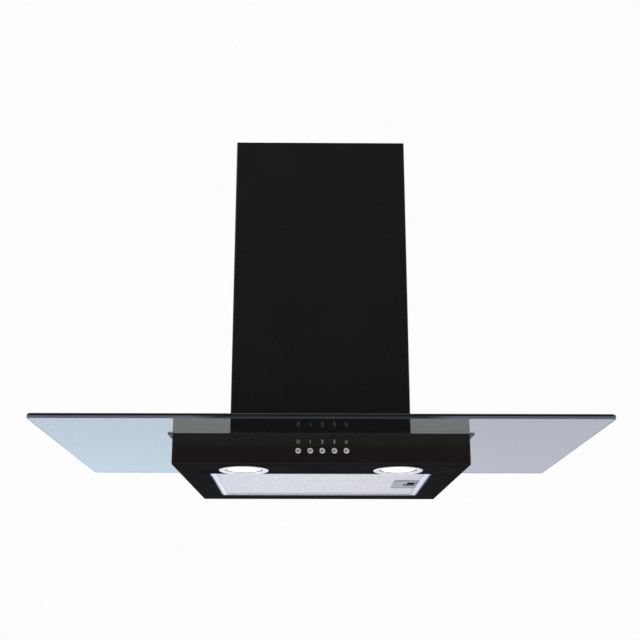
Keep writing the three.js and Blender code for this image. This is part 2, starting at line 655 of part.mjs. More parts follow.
function frameTop() {
  const { halfWidth, front, back, top, sheet } = FRAME;
  const shape = rectangle(region(-halfWidth, halfWidth, front, back));
  const clearance = 0.5;
  const outletHalf = FAN.halfWidth + clearance;
  const outletFront = FAN.y + FAN.smallRadius * Math.cos(THREE.MathUtils.degToRad(VOLUTE_TURN)) - clearance;
  const outletBack = FAN.y + FAN.largeRadius + clearance;
  shape.holes.push(rectangle(region(-outletHalf, outletHalf, outletFront, outletBack)));
  shape.holes.push(disc(LEAD_HOLE.radius, LEAD_HOLE.x, LEAD_HOLE.y));
  return slab(shape, top - sheet, top);
}

function frameStrip() {
  const { halfWidth, back, top } = FRAME;
  const strip = block(region(-halfWidth, halfWidth, back - FRAME_STRIP_SHEET, back), FRAME_STRIP_LOW, top);
  const windowHalf = HANGER.halfWidth + HANGER_WINDOW.slack;
  const windows = [-HANGER.x, HANGER.x].map((x) => {
    const plan = region(x - windowHalf, x + windowHalf, back - OVERSHOOT, 0);
    return block(plan, HANGER_WINDOW.low, HANGER.armHigh + GAP);
  });
  return cut(strip, ...windows);
}

function blowerFrame() {
  return join(frameTop(), frameSide(-1), frameSide(1), frameStrip());
}

// A wall plate with a hook that points up; its section lies in the YZ plane and runs along X.
function wallHanger() {
  const { halfWidth, low, high, plate, armLow, armHigh } = HANGER;
  const section = polygon([
    [0, low],
    [0, high],
    [-plate, high],
    [-plate, armHigh],
    [HANGER_LIP.back, armHigh],
    [HANGER_LIP.back, HANGER_LIP.high],
    [HANGER_LIP.front, HANGER_LIP.high],
    [HANGER_LIP.front, armLow],
    [-plate, armLow],
    [-plate, low],
  ]);
  const hook = slab(section, -halfWidth, halfWidth);
  hook.applyQuaternion(new THREE.Quaternion(0.5, 0.5, 0.5, 0.5));
  const holes = HANGER_HOLE.levels.map((z, i) =>
    barAlongY(HANGER_HOLE.radius, -plate - OVERSHOOT, OVERSHOOT, (i - 0.5) * halfWidth, z),
  );
  return cut(hook, ...holes);
}

function addMounting(root) {
  addPart(root, "blower_frame", "galvanised", blowerFrame());
  addPart(root, "wall_hanger_left", "galvanised", wallHanger(), [-HANGER.x, 0, 0]);
  addPart(root, "wall_hanger_right", "galvanised", wallHanger(), [HANGER.x, 0, 0]);
}

// ---------------------------------------------------------------- air outlet with its backdraft flaps

function outletCollar() {
  const { base, baseThickness, mouth, inner, outer, height } = OUTLET;
  const plate = rectangle(region(-base, base, -base, base));
  plate.holes.push(disc(mouth, 0, 0, ROUND));
  const wall = turnedRing([[inner, 1], [outer, 1], [outer, height], [inner, height]]);
  const seat = turnedRing([
    [FLAP_SEAT.inner, FLAP_SEAT.low],
    [inner + 1, FLAP_SEAT.low],
    [inner + 1, FLAP_SEAT.high],
    [FLAP_SEAT.inner, FLAP_SEAT.high],
  ]);
  const reach = outer + OVERSHOOT;
  const pinHole = barAlongX(FLAP.bore, -reach, reach, 0, FLAP_PIN.level, PIN_ROUND);
  return cut(join(slab(plate, 0, baseThickness), wall, seat), pinHole);
}

// Half a disc with two knuckles round the pin; sign is -1 for the front flap and 1 for the back one.
function flap(sign, knuckles) {
  const { radius, low, thickness, edge, knuckle, bore } = FLAP;
  const start = Math.asin(edge / radius);
  const bladeEnd = sign * (edge + 1);
  const shape = new THREE.Shape().absarc(0, 0, radius, start, Math.PI - start);
  const plate = slab(shape, low, low + thickness, ROUND / 2);
  if (sign < 0) plate.rotateZ(Math.PI);
  const hinges = knuckles.flatMap(([from, to]) => [
    barAlongX(knuckle, from, to, 0, FLAP_PIN.level, PIN_ROUND),
    block(region(from, to, Math.min(0, bladeEnd), Math.max(0, bladeEnd)), low, low + thickness),
  ]);
  const pinHole = barAlongX(bore, -radius, radius, 0, FLAP_PIN.level, PIN_ROUND);
  return cut(join(plate, ...hinges), pinHole);
}

function flapPin() {
  const reach = OUTLET.outer - GAP / 2;
  return barAlongX(FLAP_PIN.radius, -reach, reach, 0, FLAP_PIN.level, PIN_ROUND);
}

function ductAdapter() {
  const { low, coneLow, coneHigh, high, small, large, wall } = ADAPTER;
  return turnedRing([
    [small, low],
    [small + wall, low],
    [small + wall, coneLow],
    [large + wall, coneHigh],
    [large + wall, high],
    [large, high],
    [large, coneHigh],
    [small, coneLow],
  ]);
}

function addOutlet(root) {
  const outlet = subGroup(root, [0, OUTLET.y, FRAME.top + GAP]);
  addPart(outlet, "outlet_collar", "blackPlastic", outletCollar());
  addPart(outlet, "flap_front", "whitePlastic", flap(-1, FLAP_KNUCKLES.front));
  addPart(outlet, "flap_back", "whitePlastic", flap(1, FLAP_KNUCKLES.back));
  addPart(outlet, "flap_pin", "steel", flapPin());
  addPart(outlet, "duct_adapter", "blackPlastic", ductAdapter());
}

// ---------------------------------------------------------------- chimney covers

// A U-section open to the wall, with a narrow return along each back edge.
function coverSection(halfWidth, front, back) {
  const innerHalf = halfWidth - SHEET;
  const innerFront = front + SHEET;
  const innerBack = back - SHEET;
  const returnHalf = halfWidth - CHIMNEY.return;
  return polygon([
    [-halfWidth, front],
    [halfWidth, front],
    [halfWidth, back],
    [returnHalf, back],
    [returnHalf, innerBack],
    [innerHalf, innerBack],
    [innerHalf, innerFront],
    [-innerHalf, innerFront],
    [-innerHalf, innerBack],
    [-returnHalf, innerBack],
    [-returnHalf, back],
    [-halfWidth, back],
  ]);
}

function lowerCover() {
  const section = coverSection(CHIMNEY.halfWidth, CHIMNEY.front, CHIMNEY.back);
  return slab(section, 0, CHIMNEY.top - CHIMNEY.bottom);
}

function upperCover() {
  const { inset: side, backInset, bottom, top } = UPPER_COVER;
  const section = coverSection(CHIMNEY.halfWidth - side, CHIMNEY.front + side, CHIMNEY.back - backInset);
  return slab(section, 0, top - bottom);
}

// The bracket's flat part lies on the wall, and its arms hold the upper cover's side walls.
function coverBracket() {
  const { low, high, plate, step, side, arm, sheet } = COVER_BRACKET;
  const rightHalf = [
    [plate, 0],
    [plate, -step],
    [side, -step],
    [side, -arm],
    [side - sheet, -arm],
    [side - sheet, -step - sheet],
    [plate - sheet, -step - sheet],
    [plate - sheet, -sheet],
  ];
  const leftHalf = rightHalf.map(([x, y]) => [-x, y]).reverse();
  return slab(polygon([...rightHalf, ...leftHalf].reverse()), 0, high - low);
}

function addChimney(root) {
  addPart(root, "chimney_lower", "enamel", lowerCover(), [0, 0, CHIMNEY.bottom]);
  addPart(root, "chimney_upper", "enamel", upperCover(), [0, 0, UPPER_COVER.bottom]);
  addPart(root, "chimney_bracket", "galvanised", coverBracket(), [0, 0, COVER_BRACKET.low]);
}

// ---------------------------------------------------------------- electrics

function terminalBox() {
  const { halfWidth, halfDepth, height, wall } = TERMINAL;
  const outer = region(-halfWidth, halfWidth, -halfDepth, halfDepth);
  const leadHole = bar(LEAD_HOLE.radius, -OVERSHOOT, OVERSHOOT);
  return cut(block(outer, 0, height), block(inset(outer, wall), wall, height + OVERSHOOT), leadHole);
}

function terminalLid() {
  const { halfWidth, halfDepth, wall, glandY, glandHole } = TERMINAL;
  const shape = rectangle(region(-halfWidth, halfWidth, -halfDepth, halfDepth));
  shape.holes.push(disc(glandHole, 0, glandY));
  return slab(shape, 0, wall);
}

// A hollow gland: its neck stands in the lid's hole and its flange rests on the lid.
function cableGland() {
  return turnedRing(GLAND_PROFILE, SMALL_ROUND);
}

function addElectrics(root) {
  const box = subGroup(root, [LEAD_HOLE.x, LEAD_HOLE.y, FRAME.top + GAP]);
  const lidLevel = TERMINAL.height + GAP;
  addPart(box, "terminal_box", "whitePlastic", terminalBox());
  addPart(box, "terminal_box_lid", "whitePlastic", terminalLid(), [0, 0, lidLevel]);
  addPart(box, "cable_gland", "blackPlastic", cableGland(), [0, TERMINAL.glandY, lidLevel]);
  addPart(root, "motor_lead", "blackPlastic", tube(LEAD.mains, MOTOR_LEAD_ROUTE));
  addPart(root, "control_lead", "blackPlastic", tube(LEAD.mains, CONTROL_LEAD_ROUTE));
  addPart(root, "lamp_lead_left", "blackPlastic", tube(LEAD.lamp, LEFT_LAMP_LEAD_ROUTE));
  addPart(root, "lamp_lead_right", "blackPlastic", tube(LEAD.lamp, RIGHT_LAMP_LEAD_ROUTE));
}

// Routes of the leads, chosen by hand: up from the motor, and from the switch board, to the terminal box.
const MOTOR_LEAD_ROUTE = [
  [-92, -150, 203],
  [-94, -148, 218],
  [-98, -120, 248],
  [-98.8, -80, 268],
  [-98.8, -62, 280],
  [-98.8, -62, 296],
];
const CONTROL_LEAD_ROUTE = [
  [-20, -365, -2],
  [-42, -345, 0],
  [-88, -300, 6],
  [-108, -255, 8],
  [-116, -230, 16],
  [-118, -228, 34],
  [-118, -226, 80],
  [-118, -224, 200],
  [-116, -190, 252],
  [-108, -110, 266],
  [-105.6, -68, 271],
  [-105.2, -62, 281],
  [-105.2, -62, 296],
];
// From each lamp's socket to the transformer on the right.
const LEFT_LAMP_LEAD_ROUTE = [
  [-128, -351, 15.3],
  [-118, -348, 18],
  [-60, -338, 18],
  [20, -333, 18],
  [100, -324, 18],
  [170, -305, 12],
  [200, -285, 0],
  [204, -263, -8],
];
const RIGHT_LAMP_LEAD_ROUTE = [
  [128, -351, 15.3],
  [140, -352, 18],
  [185, -340, 15],
  [218, -300, 8],
  [218, -263, 2],
];

// ---------------------------------------------------------------- the hood

function rangeHood() {
  const root = new THREE.Group();
  addBody(root);
  addGlass(root);
  addFilter(root);
  addLamps(root);
  addControls(root);
  addBlower(root);
  addMounting(root);
  addOutlet(root);
  addChimney(root);
  addElectrics(root);
  return root;
}

export default rangeHood();
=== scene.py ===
import json
import math

import bmesh
import bpy
from mathutils import Matrix, Vector
from mathutils.geometry import tessellate_polygon

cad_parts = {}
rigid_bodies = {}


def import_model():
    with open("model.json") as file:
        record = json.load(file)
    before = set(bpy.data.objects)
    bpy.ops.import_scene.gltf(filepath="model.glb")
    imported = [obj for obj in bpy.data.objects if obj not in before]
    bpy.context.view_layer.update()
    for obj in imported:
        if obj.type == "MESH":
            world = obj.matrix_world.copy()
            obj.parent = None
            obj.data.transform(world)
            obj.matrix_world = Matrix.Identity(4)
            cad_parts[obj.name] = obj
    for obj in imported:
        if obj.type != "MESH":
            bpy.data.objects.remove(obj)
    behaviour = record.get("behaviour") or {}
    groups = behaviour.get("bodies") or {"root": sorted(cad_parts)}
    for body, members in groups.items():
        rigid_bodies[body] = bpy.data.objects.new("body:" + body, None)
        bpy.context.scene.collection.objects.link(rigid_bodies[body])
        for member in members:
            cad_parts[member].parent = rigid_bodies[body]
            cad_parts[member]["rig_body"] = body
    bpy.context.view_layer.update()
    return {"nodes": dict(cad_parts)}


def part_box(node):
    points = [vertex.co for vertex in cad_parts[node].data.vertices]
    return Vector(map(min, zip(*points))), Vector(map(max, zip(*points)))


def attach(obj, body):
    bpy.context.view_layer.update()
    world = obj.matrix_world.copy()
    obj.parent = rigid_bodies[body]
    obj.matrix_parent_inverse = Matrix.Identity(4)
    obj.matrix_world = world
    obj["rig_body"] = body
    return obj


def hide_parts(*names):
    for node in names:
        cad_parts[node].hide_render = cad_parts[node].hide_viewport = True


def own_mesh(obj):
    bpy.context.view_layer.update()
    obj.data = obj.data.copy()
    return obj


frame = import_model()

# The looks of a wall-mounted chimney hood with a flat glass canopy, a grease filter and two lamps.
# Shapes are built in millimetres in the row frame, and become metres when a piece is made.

MM = 0.001
TINY = 1e-9
SAME_POINT = 1e-3

# ---------------------------------------------------------------- sizes


class Box:
    """A CAD node's box at rest, in millimetres."""

    def __init__(self, node):
        low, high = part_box(node)
        self.left, self.front, self.low = (value / MM for value in low)
        self.right, self.back, self.high = (value / MM for value in high)
        self.x = (self.left + self.right) / 2
        self.y = (self.front + self.back) / 2
        self.z = (self.low + self.high) / 2


BODY = Box("body_shell")
BODY_BACK_HALF = 230
GASKET = Box("glass_gasket")
GASKET_BACK_HALF = 238
GLASS = Box("glass_canopy")
GLASS_CORNER = 8
GLASS_ARRIS = 1.3
CUTOUT = (-146, 146, -246, -24)
CUTOUT_CORNER = 10
FILTER = Box("filter_frame")
FILTER_HALF_WIDTH = FILTER.right
TRAY = Box("latch_tray")
TRAY_DEPTH = 4.8
TRAY_WALL = 1.2
SLIDER_PLATE = 1.5
NUB_LEFT, NUB_RIGHT = 161, 173
LAMP_HOLE_RADIUS = 36.5
BUTTON_HOLE_RADIUS = 4.8
SHEET = 1.2
BEND = 2.2
GAP = 0.3
BUTTONS = ["button_off", "button_speed_1", "button_speed_2", "button_speed_3", "button_light"]
SIDES = ("left", "right")

# ---------------------------------------------------------------- outlines, as lists of 2-D points


def rectangle(left, right, front, back):
    return [Vector(p) for p in ((left, front), (right, front), (right, back), (left, back))]


def rounded(corners, radii, steps=6):
    """A closed outline with arcs for corners; radii is one number, or one for each corner."""
    count = len(corners)
    if not isinstance(radii, (list, tuple)):
        radii = [radii] * count
    points = []
    for i, corner in enumerate(corners):
        if radii[i] <= 0:
            points.append(corner.copy())
            continue
        to_last = (corners[i - 1] - corner).normalized()
        to_next = (corners[(i + 1) % count] - corner).normalized()
        half = to_last.angle(to_next) / 2
        centre = corner + (to_last + to_next).normalized() * radii[i] / math.sin(half)
        start = corner + to_last * radii[i] / math.tan(half) - centre
        end = corner + to_next * radii[i] / math.tan(half) - centre
        first = math.atan2(start.y, start.x)
        turn = (math.atan2(end.y, end.x) - first + math.pi) % (2 * math.pi) - math.pi
        for k in range(steps + 1):
            angle = first + turn * k / steps
            points.append(centre + radii[i] * Vector((math.cos(angle), math.sin(angle))))
    return points


def shifted(outline, distance):
    """A closed outline moved to its left by a distance."""
    sharpest = 0.2
    result = []
    for i, point in enumerate(outline):
        before = (point - outline[i - 1]).normalized()
        after = (outline[(i + 1) % len(outline)] - point).normalized()
        normal = Vector((-before.y, before.x))
        mitre = normal + Vector((-after.y, after.x))
        result.append(point + mitre * distance / max(mitre.dot(normal), sharpest))
    return result


def tapered(front_half, back_half, front, back, inset=0):
    """The plan of the body: narrower at y = 0, and moved in on the front and the sides."""

    def half(y):
        return back_half + (front_half - back_half) * y / front - inset

    near = front + inset
    corners = ((-half(near), near), (half(near), near), (half(back), back), (-half(back), back))
    return [Vector(p) for p in corners]


# ---------------------------------------------------------------- parts, as (points, faces)


def merged(*parts):
    points, faces = [], []
    for part_points, part_faces in parts:
        faces += [tuple(i + len(points) for i in face) for face in part_faces]
        points += part_points
    return points, faces


def moved(part, matrix):
    return [matrix @ point for point in part[0]], part[1]


def shift(part, x=0, y=0, z=0):
    return moved(part, Matrix.Translation((x, y, z)))


def laid_back(part):
    """A part built along Z, laid along +Y."""
    return moved(part, Matrix.Rotation(-math.pi / 2, 4, "X"))


def stitched(rings, closed=False):
    """Quads between rings of equally many points."""
    size = len(rings[0])
    points = [point for ring in rings for point in ring]
    faces = []
    for r in range(len(rings) if closed else len(rings) - 1):
        s = (r + 1) % len(rings)
        for i in range(size):
            j = (i + 1) % size
            faces.append((r * size + i, r * size + j, s * size + j, s * size + i))
    return points, faces


def plate(outer, holes, low, high, bevel=0.3, steps=2):
    """A flat plate with rounded edges. Every outline runs anticlockwise."""
    quarter = [math.pi / 2 * k / steps for k in range(steps + 1)]
    edge = [(bevel * (1 - math.sin(a)), low + bevel * (1 - math.cos(a))) for a in quarter]
    edge += [(offset, low + high - z) for offset, z in reversed(edge)]
    parts = []
    caps = {low: [], high: []}
    for outline in [list(outer), *[list(reversed(hole)) for hole in holes]]:
        rings = []
        for offset, z in edge:
            loop = shifted(outline, offset) if offset > TINY else outline
            rings.append([Vector((p.x, p.y, z)) for p in loop])
        parts.append(stitched(rings))
        caps[low].append(rings[0])
        caps[high].append(rings[-1])
    for loops in caps.values():
        points = [point for loop in loops for point in loop]
        parts.append((points, [tuple(triangle) for triangle in tessellate_polygon(loops)]))
    return merged(*parts)


def brick(left, right, front, back, low, high, round_=0.5, bevel=None):
    """A block with rounded upright edges and bevelled ends."""
    outline = rounded(rectangle(left, right, front, back), round_, 4)
    return plate(outline, (), low, high, round_ * 0.8 if bevel is None else bevel)


def lathe(profile, segments, closed=False):
    """A profile of (radius, level) pairs turned about Z."""
    rings = []
    for i in range(segments):
        angle = 2 * math.pi * i / segments
        rings.append([Vector((r * math.cos(angle), r * math.sin(angle), z)) for r, z in profile])
    points, faces = stitched(rings, closed=True)
    if closed:
        return points, faces
    size = len(profile)
    return points, [face for k, face in enumerate(faces) if k % size != size - 1]


def drill(radius, reach, segments):
    """A cylinder along Z that cuts a round hole, as far up as down."""
    return lathe([(0, -reach), (radius, -reach), (radius, reach), (0, reach)], segments)


def rail(outline_at, profile):
    """A closed (inset, level) profile led round an outline."""
    rings = [[Vector((p.x, p.y, z)) for p in outline_at(inset)] for inset, z in profile]
    return stitched(rings, closed=True)


def smooth_path(points):
    """A Catmull-Rom curve through the points."""
    per_span = 8
    path = [Vector(p) for p in points]
    path = [2 * path[0] - path[1], *path, 2 * path[-1] - path[-2]]
    result = []
    for a, b, c, d in zip(path, path[1:], path[2:], path[3:]):
        for k in range(per_span):
            t = k / per_span
            bend = (2 * a - 5 * b + 4 * c - d) * t * t + (3 * b - a - 3 * c + d) * t ** 3
            result.append(0.5 * (2 * b + (c - a) * t + bend))
    return [*result, path[-2]]


def tube(path, radius, sides):
    """A round bar along a path of points, closed at both ends."""
    path = [Vector(p) for p in path]
    side = (path[1] - path[0]).orthogonal().normalized()
    rings = []
    for i, point in enumerate(path):
        along = (path[min(i + 1, len(path) - 1)] - path[max(i - 1, 0)]).normalized()
        side = (side - along * side.dot(along)).normalized()
        up = along.cross(side)
        turns = [2 * math.pi * k / sides for k in range(sides)]
        rings.append([point + radius * (math.cos(a) * side + math.sin(a) * up) for a in turns])
    points, faces = stitched(rings)
    last = len(points) - sides
    return points, [*faces, tuple(reversed(range(sides))), tuple(range(last, last + sides))]


def new_object(name, data):
    item = bpy.data.objects.new(name, data)
    bpy.context.scene.collection.objects.link(item)
    return item


def new_mesh(name, part, scale=MM):
    """A mesh of a part, its double points joined and its faces turned outwards."""
    mesh = bpy.data.meshes.new(name)
    mesh.from_pydata([point * scale for point in part[0]], [], part[1])
    work = bmesh.new()
    work.from_mesh(mesh)
    bmesh.ops.remove_doubles(work, verts=work.verts, dist=SAME_POINT * scale)
    bmesh.ops.recalc_face_normals(work, faces=work.faces)
    work.to_mesh(mesh)
    work.free()
    return mesh


def as_part(mesh):
    return [v.co.copy() for v in mesh.vertices], [tuple(p.vertices) for p in mesh.polygons]


def difference(base, tool):
    """A part with another part cut out of it."""
    objects = [new_object("work", new_mesh("work", part, 1)) for part in (base, tool)]
    cut = objects[0].modifiers.new("cut", "BOOLEAN")
    cut.operation = "DIFFERENCE"
    cut.solver = "EXACT"
    cut.object = objects[1]
    part = as_part(objects[0].evaluated_get(bpy.context.evaluated_depsgraph_get()).data)
    for item in objects:
        bpy.data.objects.remove(item)
    return part


def carved(base, *tools):
    """A part with other parts cut out of it, one after the other."""
    for tool in tools:
        base = difference(base, tool)
    return base


# ---------------------------------------------------------------- pieces


def new_piece(name, mesh, finish, body, nodes=(), angle=38):
    """An object that rides on a body, with its material, and shaded smooth up to an angle."""
    mesh.polygons.foreach_set("use_smooth", [True] * len(mesh.polygons))
    mesh.set_sharp_from_angle(angle=math.radians(angle))
    piece = new_object(name, mesh)
    mesh.materials.append(finish)
    normals = piece.modifiers.new("normals", "WEIGHTED_NORMAL")
    normals.keep_sharp = True
    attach(piece, body)
    if nodes:
        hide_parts(*nodes)
    return piece


def body_of(node):
    return frame["nodes"][node]["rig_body"]


def stand_in(name, part, finish, node, angle=38):
    """A piece that stands for a CAD node and rides where it does."""
    return new_piece(name, new_mesh(name, part), finish, body_of(node), (node,), angle)


def painted(piece, finish, chosen):
    """Gives the faces of a piece that are chosen a further finish."""
    piece.data.materials.append(finish)
    for face in piece.data.polygons:
        if chosen(face):
            face.material_index = len(piece.data.materials) - 1


def refined(node, finish, width):
    """A CAD node's shape again, with every sharp edge rounded."""
    flat, sharp = math.radians(0.5), math.radians(32)
    work = bmesh.new()
    work.from_mesh(frame["nodes"][node].data)
    bmesh.ops.remove_doubles(work, verts=work.verts, dist=SAME_POINT * MM)
    bmesh.ops.dissolve_limit(work, angle_limit=flat, verts=work.verts, edges=work.edges)
    edges = [e for e in work.edges if e.is_manifold and e.calc_face_angle(0) > sharp]
    bmesh.ops.bevel(work, geom=edges, offset=width * MM, offset_type="OFFSET", segments=2,
                    profile=0.5, affect="EDGES", clamp_overlap=True)
    mesh = bpy.data.meshes.new(node + "_fine")
    work.to_mesh(mesh)
    work.free()
    return new_piece(node + "_fine", mesh, finish, body_of(node), (node,))


# ---------------------------------------------------------------- materials


class Tree:
    """A node tree, and short ways to put nodes in it."""

    def __init__(self, tree):
        self.tree = tree

    def add(self, kind, **settings):
        node = self.tree.nodes.new(kind)
        for name, value in settings.items():
            setattr(node, name, value)
        return node

    def link(self, source, target):
        self.tree.links.new(source, target)

    def split(self, vector):
        """The X, Y and Z of a vector."""
        node = self.add("ShaderNodeSeparateXYZ")
        self.link(vector, node.inputs["Vector"])
        return [node.outputs[axis] for axis in "XYZ"]

    def spread(self, factor, low, high, start=0.3, end=0.7):
        """A factor between start and end, spread over low to high."""
        node = self.add("ShaderNodeMapRange", interpolation_type="SMOOTHSTEP")
        ends = (("From Min", start), ("From Max", end), ("To Min", low), ("To Max", high))
        for socket, value in ends:
            node.inputs[socket].default_value = value
        self.link(factor, node.inputs["Value"])
        return node.outputs["Result"]

    def math(self, operation, *values):
        """A sum over one or two values, each a number or an output."""
        node = self.add("ShaderNodeMath", operation=operation)
        for socket, value in zip(node.inputs, values):
            if isinstance(value, (int, float)):
                socket.default_value = value
            else:
                self.link(value, socket)
        return node.outputs[0]

    def mix(self, factor, first, second):
        """A colour between two colours, each a tuple or an output."""
        node = self.add("ShaderNodeMix", data_type="RGBA")
        self.link(factor, node.inputs["Factor"])
        ends = [s for s in node.inputs if s.type == "RGBA"]
        for socket, value in zip(ends, (first, second)):
            if isinstance(value, tuple):
                socket.default_value = (*value, 1)
            else:
                self.link(value, socket)
        return next(o for o in node.outputs if o.type == "RGBA")


class Finish(Tree):
    """A Principled material whose colour, roughness and bump are patterns in the row frame."""

    def __init__(self, name, **sockets):
        self.material = bpy.data.materials.new(name)
        self.material.use_nodes = True
        super().__init__(self.material.node_tree)
        self.shader = self.tree.nodes["Principled BSDF"]
        self.place = self.add("ShaderNodeTexCoord").outputs["Object"]
        for socket, value in sockets.items():
            self.shader.inputs[socket.replace("_", " ")].default_value = value

    def noise(self, size, detail=3, stretch=(1, 1, 1)):
        """Noise with grains about size millimetres across, longer where stretch is small."""
        mapping = self.add("ShaderNodeMapping")
        mapping.inputs["Scale"].default_value = stretch
        self.link(self.place, mapping.inputs["Vector"])
        node = self.add("ShaderNodeTexNoise")
        node.inputs["Scale"].default_value = 1 / (size * MM)
        node.inputs["Detail"].default_value = detail
        self.link(mapping.outputs["Vector"], node.inputs["Vector"])
        return node.outputs["Fac"]

    def cells(self, size):
        """Cells about size millimetres across, each with a value of its own."""
        node = self.add("ShaderNodeTexVoronoi")
        node.inputs["Scale"].default_value = 1 / (size * MM)
        self.link(self.place, node.inputs["Vector"])
        return node.outputs["Color"]

    def from_axis(self, x, y):
        """The distance, in millimetres, from an upright axis at x and y."""
        across, along = self.split(self.place)[:2]
        across = self.math("SUBTRACT", across, x * MM)
        along = self.math("SUBTRACT", along, y * MM)
        squares = [self.math("MULTIPLY", side, side) for side in (across, along)]
        return self.math("DIVIDE", self.math("SQRT", self.math("ADD", *squares)), MM)

    def clouds(self, size, dark, light):
        """A colour that drifts between two colours over about size millimetres."""
        self.colour(self.mix(self.spread(self.noise(size), 0, 1), dark, light))

    def colour(self, source):
        self.link(source, self.shader.inputs["Base Color"])

    def roughness(self, *sources):
        total = sources[0] if len(sources) == 1 else self.math("ADD", *sources)
        self.link(total, self.shader.inputs["Roughness"])

    def bump(self, height, depth):
        """Relief of depth millimetres."""
        node = self.add("ShaderNodeBump")
        node.inputs["Distance"].default_value = depth * MM
        node.inputs["Strength"].default_value = 1
        self.link(height, node.inputs["Height"])
        self.link(node.outputs["Normal"], self.shader.inputs["Normal"])

    def output(self, source, socket):
        self.link(source, self.tree.nodes["Material Output"].inputs[socket])


def enamel(name, dark, light, rough, grain, depth, level):
    """Baked enamel: clouds in its colour and gloss, a little dust, and a relief of fine grain."""
    finish = Finish(name, Specular_IOR_Level=level)
    finish.clouds(90, dark, light)
    cloud = finish.spread(finish.noise(60), *rough)
    dust = finish.spread(finish.noise(0.9, 2), 0, 0.06, 0.62, 0.75)
    finish.roughness(cloud, dust)
    finish.bump(finish.noise(grain, 2), depth)
    return finish.material


def galvanised():
    """Zinc spangles, each with its own brightness and gloss."""
    finish = Finish("galvanised_sheet", Metallic=1.0)
    spangle = finish.cells(7)
    grain = finish.noise(1.2, 4)
    finish.colour(finish.mix(spangle, (0.36, 0.38, 0.40), (0.52, 0.54, 0.56)))
    finish.roughness(finish.spread(spangle, 0.3, 0.46, 0, 1), finish.spread(grain, 0, 0.12))
    finish.bump(finish.math("ADD", spangle, grain), 0.012)
    return finish.material


def metal(name, dark, light, rough, grain, stretch=(1, 1, 1), depth=0.004):
    """Metal with a grain, drawn out along an axis where stretch is small."""
    finish = Finish(name, Metallic=1.0)
    streak = finish.noise(grain, 4, stretch)
    finish.clouds(22, dark, light)
    smudge = finish.spread(finish.noise(14), 0, 0.08)
    finish.roughness(finish.spread(streak, *rough), smudge)
    finish.bump(streak, depth)
    return finish.material


def plastic(name, dark, light, rough=(0.42, 0.58), grain=0.5, depth=0.02):
    """Moulded plastic with a fine spark-eroded texture."""
    finish = Finish(name)
    texture = finish.noise(grain, 2)
    finish.colour(finish.mix(finish.spread(finish.noise(30, 4), 0, 1), dark, light))
    finish.roughness(finish.spread(texture, *rough))
    finish.bump(texture, depth)
    return finish.material


def canopy_glass():
    """Grey-tinted glass: clear through its thickness, dark along its length."""
    finish = Finish("tinted_glass", Transmission_Weight=1.0, IOR=1.5)
    finish.shader.inputs["Base Color"].default_value = (0.97, 0.985, 0.99, 1)
    smear = finish.noise(60, 4, (1, 0.35, 1))
    finish.roughness(finish.spread(smear, 0.0, 0.03, 0.5, 0.75))
    absorb = finish.add("ShaderNodeVolumeAbsorption")
    absorb.inputs["Color"].default_value = (0.03, 0.03, 0.04, 1)
    absorb.inputs["Density"].default_value = 98
    finish.output(absorb.outputs["Volume"], "Volume")
    return finish.material


def painted_light_glass_edge():
    """The low half of the pane's edge: painted light, grey where light comes through it, and
    painted shade, dark near the chimney.
    """
    finish = Finish("glass_low_edge_painted_light", Roughness=0.3)
    aside = finish.math("ABSOLUTE", finish.split(finish.place)[0])
    # painted shade: dark where the chimney stands over the edge, painted light grey further out
    out_of_chimney_shade = finish.spread(aside, 0, 1, 150 * MM, 210 * MM)
    grey = finish.mix(finish.noise(30, 4), (0.150, 0.170, 0.225), (0.170, 0.190, 0.255))
    finish.colour(finish.mix(out_of_chimney_shade, (0.020, 0.034, 0.042), grey))
    finish.bump(finish.noise(0.6, 2), 0.006)
    return finish.material


def spun(name, x, y, dark, light):
    """Bright metal turned on a lathe about an upright axis: fine rings round it."""
    pitch = 0.5
    finish = Finish(name, Metallic=1.0)
    turns = finish.math("MULTIPLY", finish.from_axis(x, y), 2 * math.pi / pitch)
    rings = finish.math("SINE", turns)
    finish.clouds(9, dark, light)
    finish.roughness(finish.spread(finish.math("ADD", rings, finish.noise(0.6)), 0.2, 0.3, -1, 2))
    finish.bump(rings, 0.002)
    return finish.material


def lit_lens(name, x, y):
    """Frosted lamp glass that glows white, warm at its front rim, inside a thin dark seal."""
    glow_back = 5
    finish = Finish(name, Roughness=0.4)
    glow_radius = finish.from_axis(x, y + glow_back)
    seal = finish.spread(finish.from_axis(x, y), 1, 0, 29.4, 30.0)
    warmth = finish.spread(glow_radius, 0, 1, 22, 31)
    glow = finish.mix(warmth, (1.0, 0.96, 0.88), (0.95, 0.72, 0.55))
    finish.link(glow, finish.shader.inputs["Emission Color"])
    strength = finish.math("MULTIPLY", finish.spread(glow_radius, 2.2, 0.45, 21, 32), seal)
    finish.link(strength, finish.shader.inputs["Emission Strength"])
    frost = finish.mix(finish.noise(4), (0.78, 0.78, 0.8), (0.9, 0.9, 0.9))
    finish.colour(finish.mix(seal, (0.02, 0.02, 0.022), frost))
    finish.bump(finish.noise(0.8, 2), 0.03)
    return finish.material


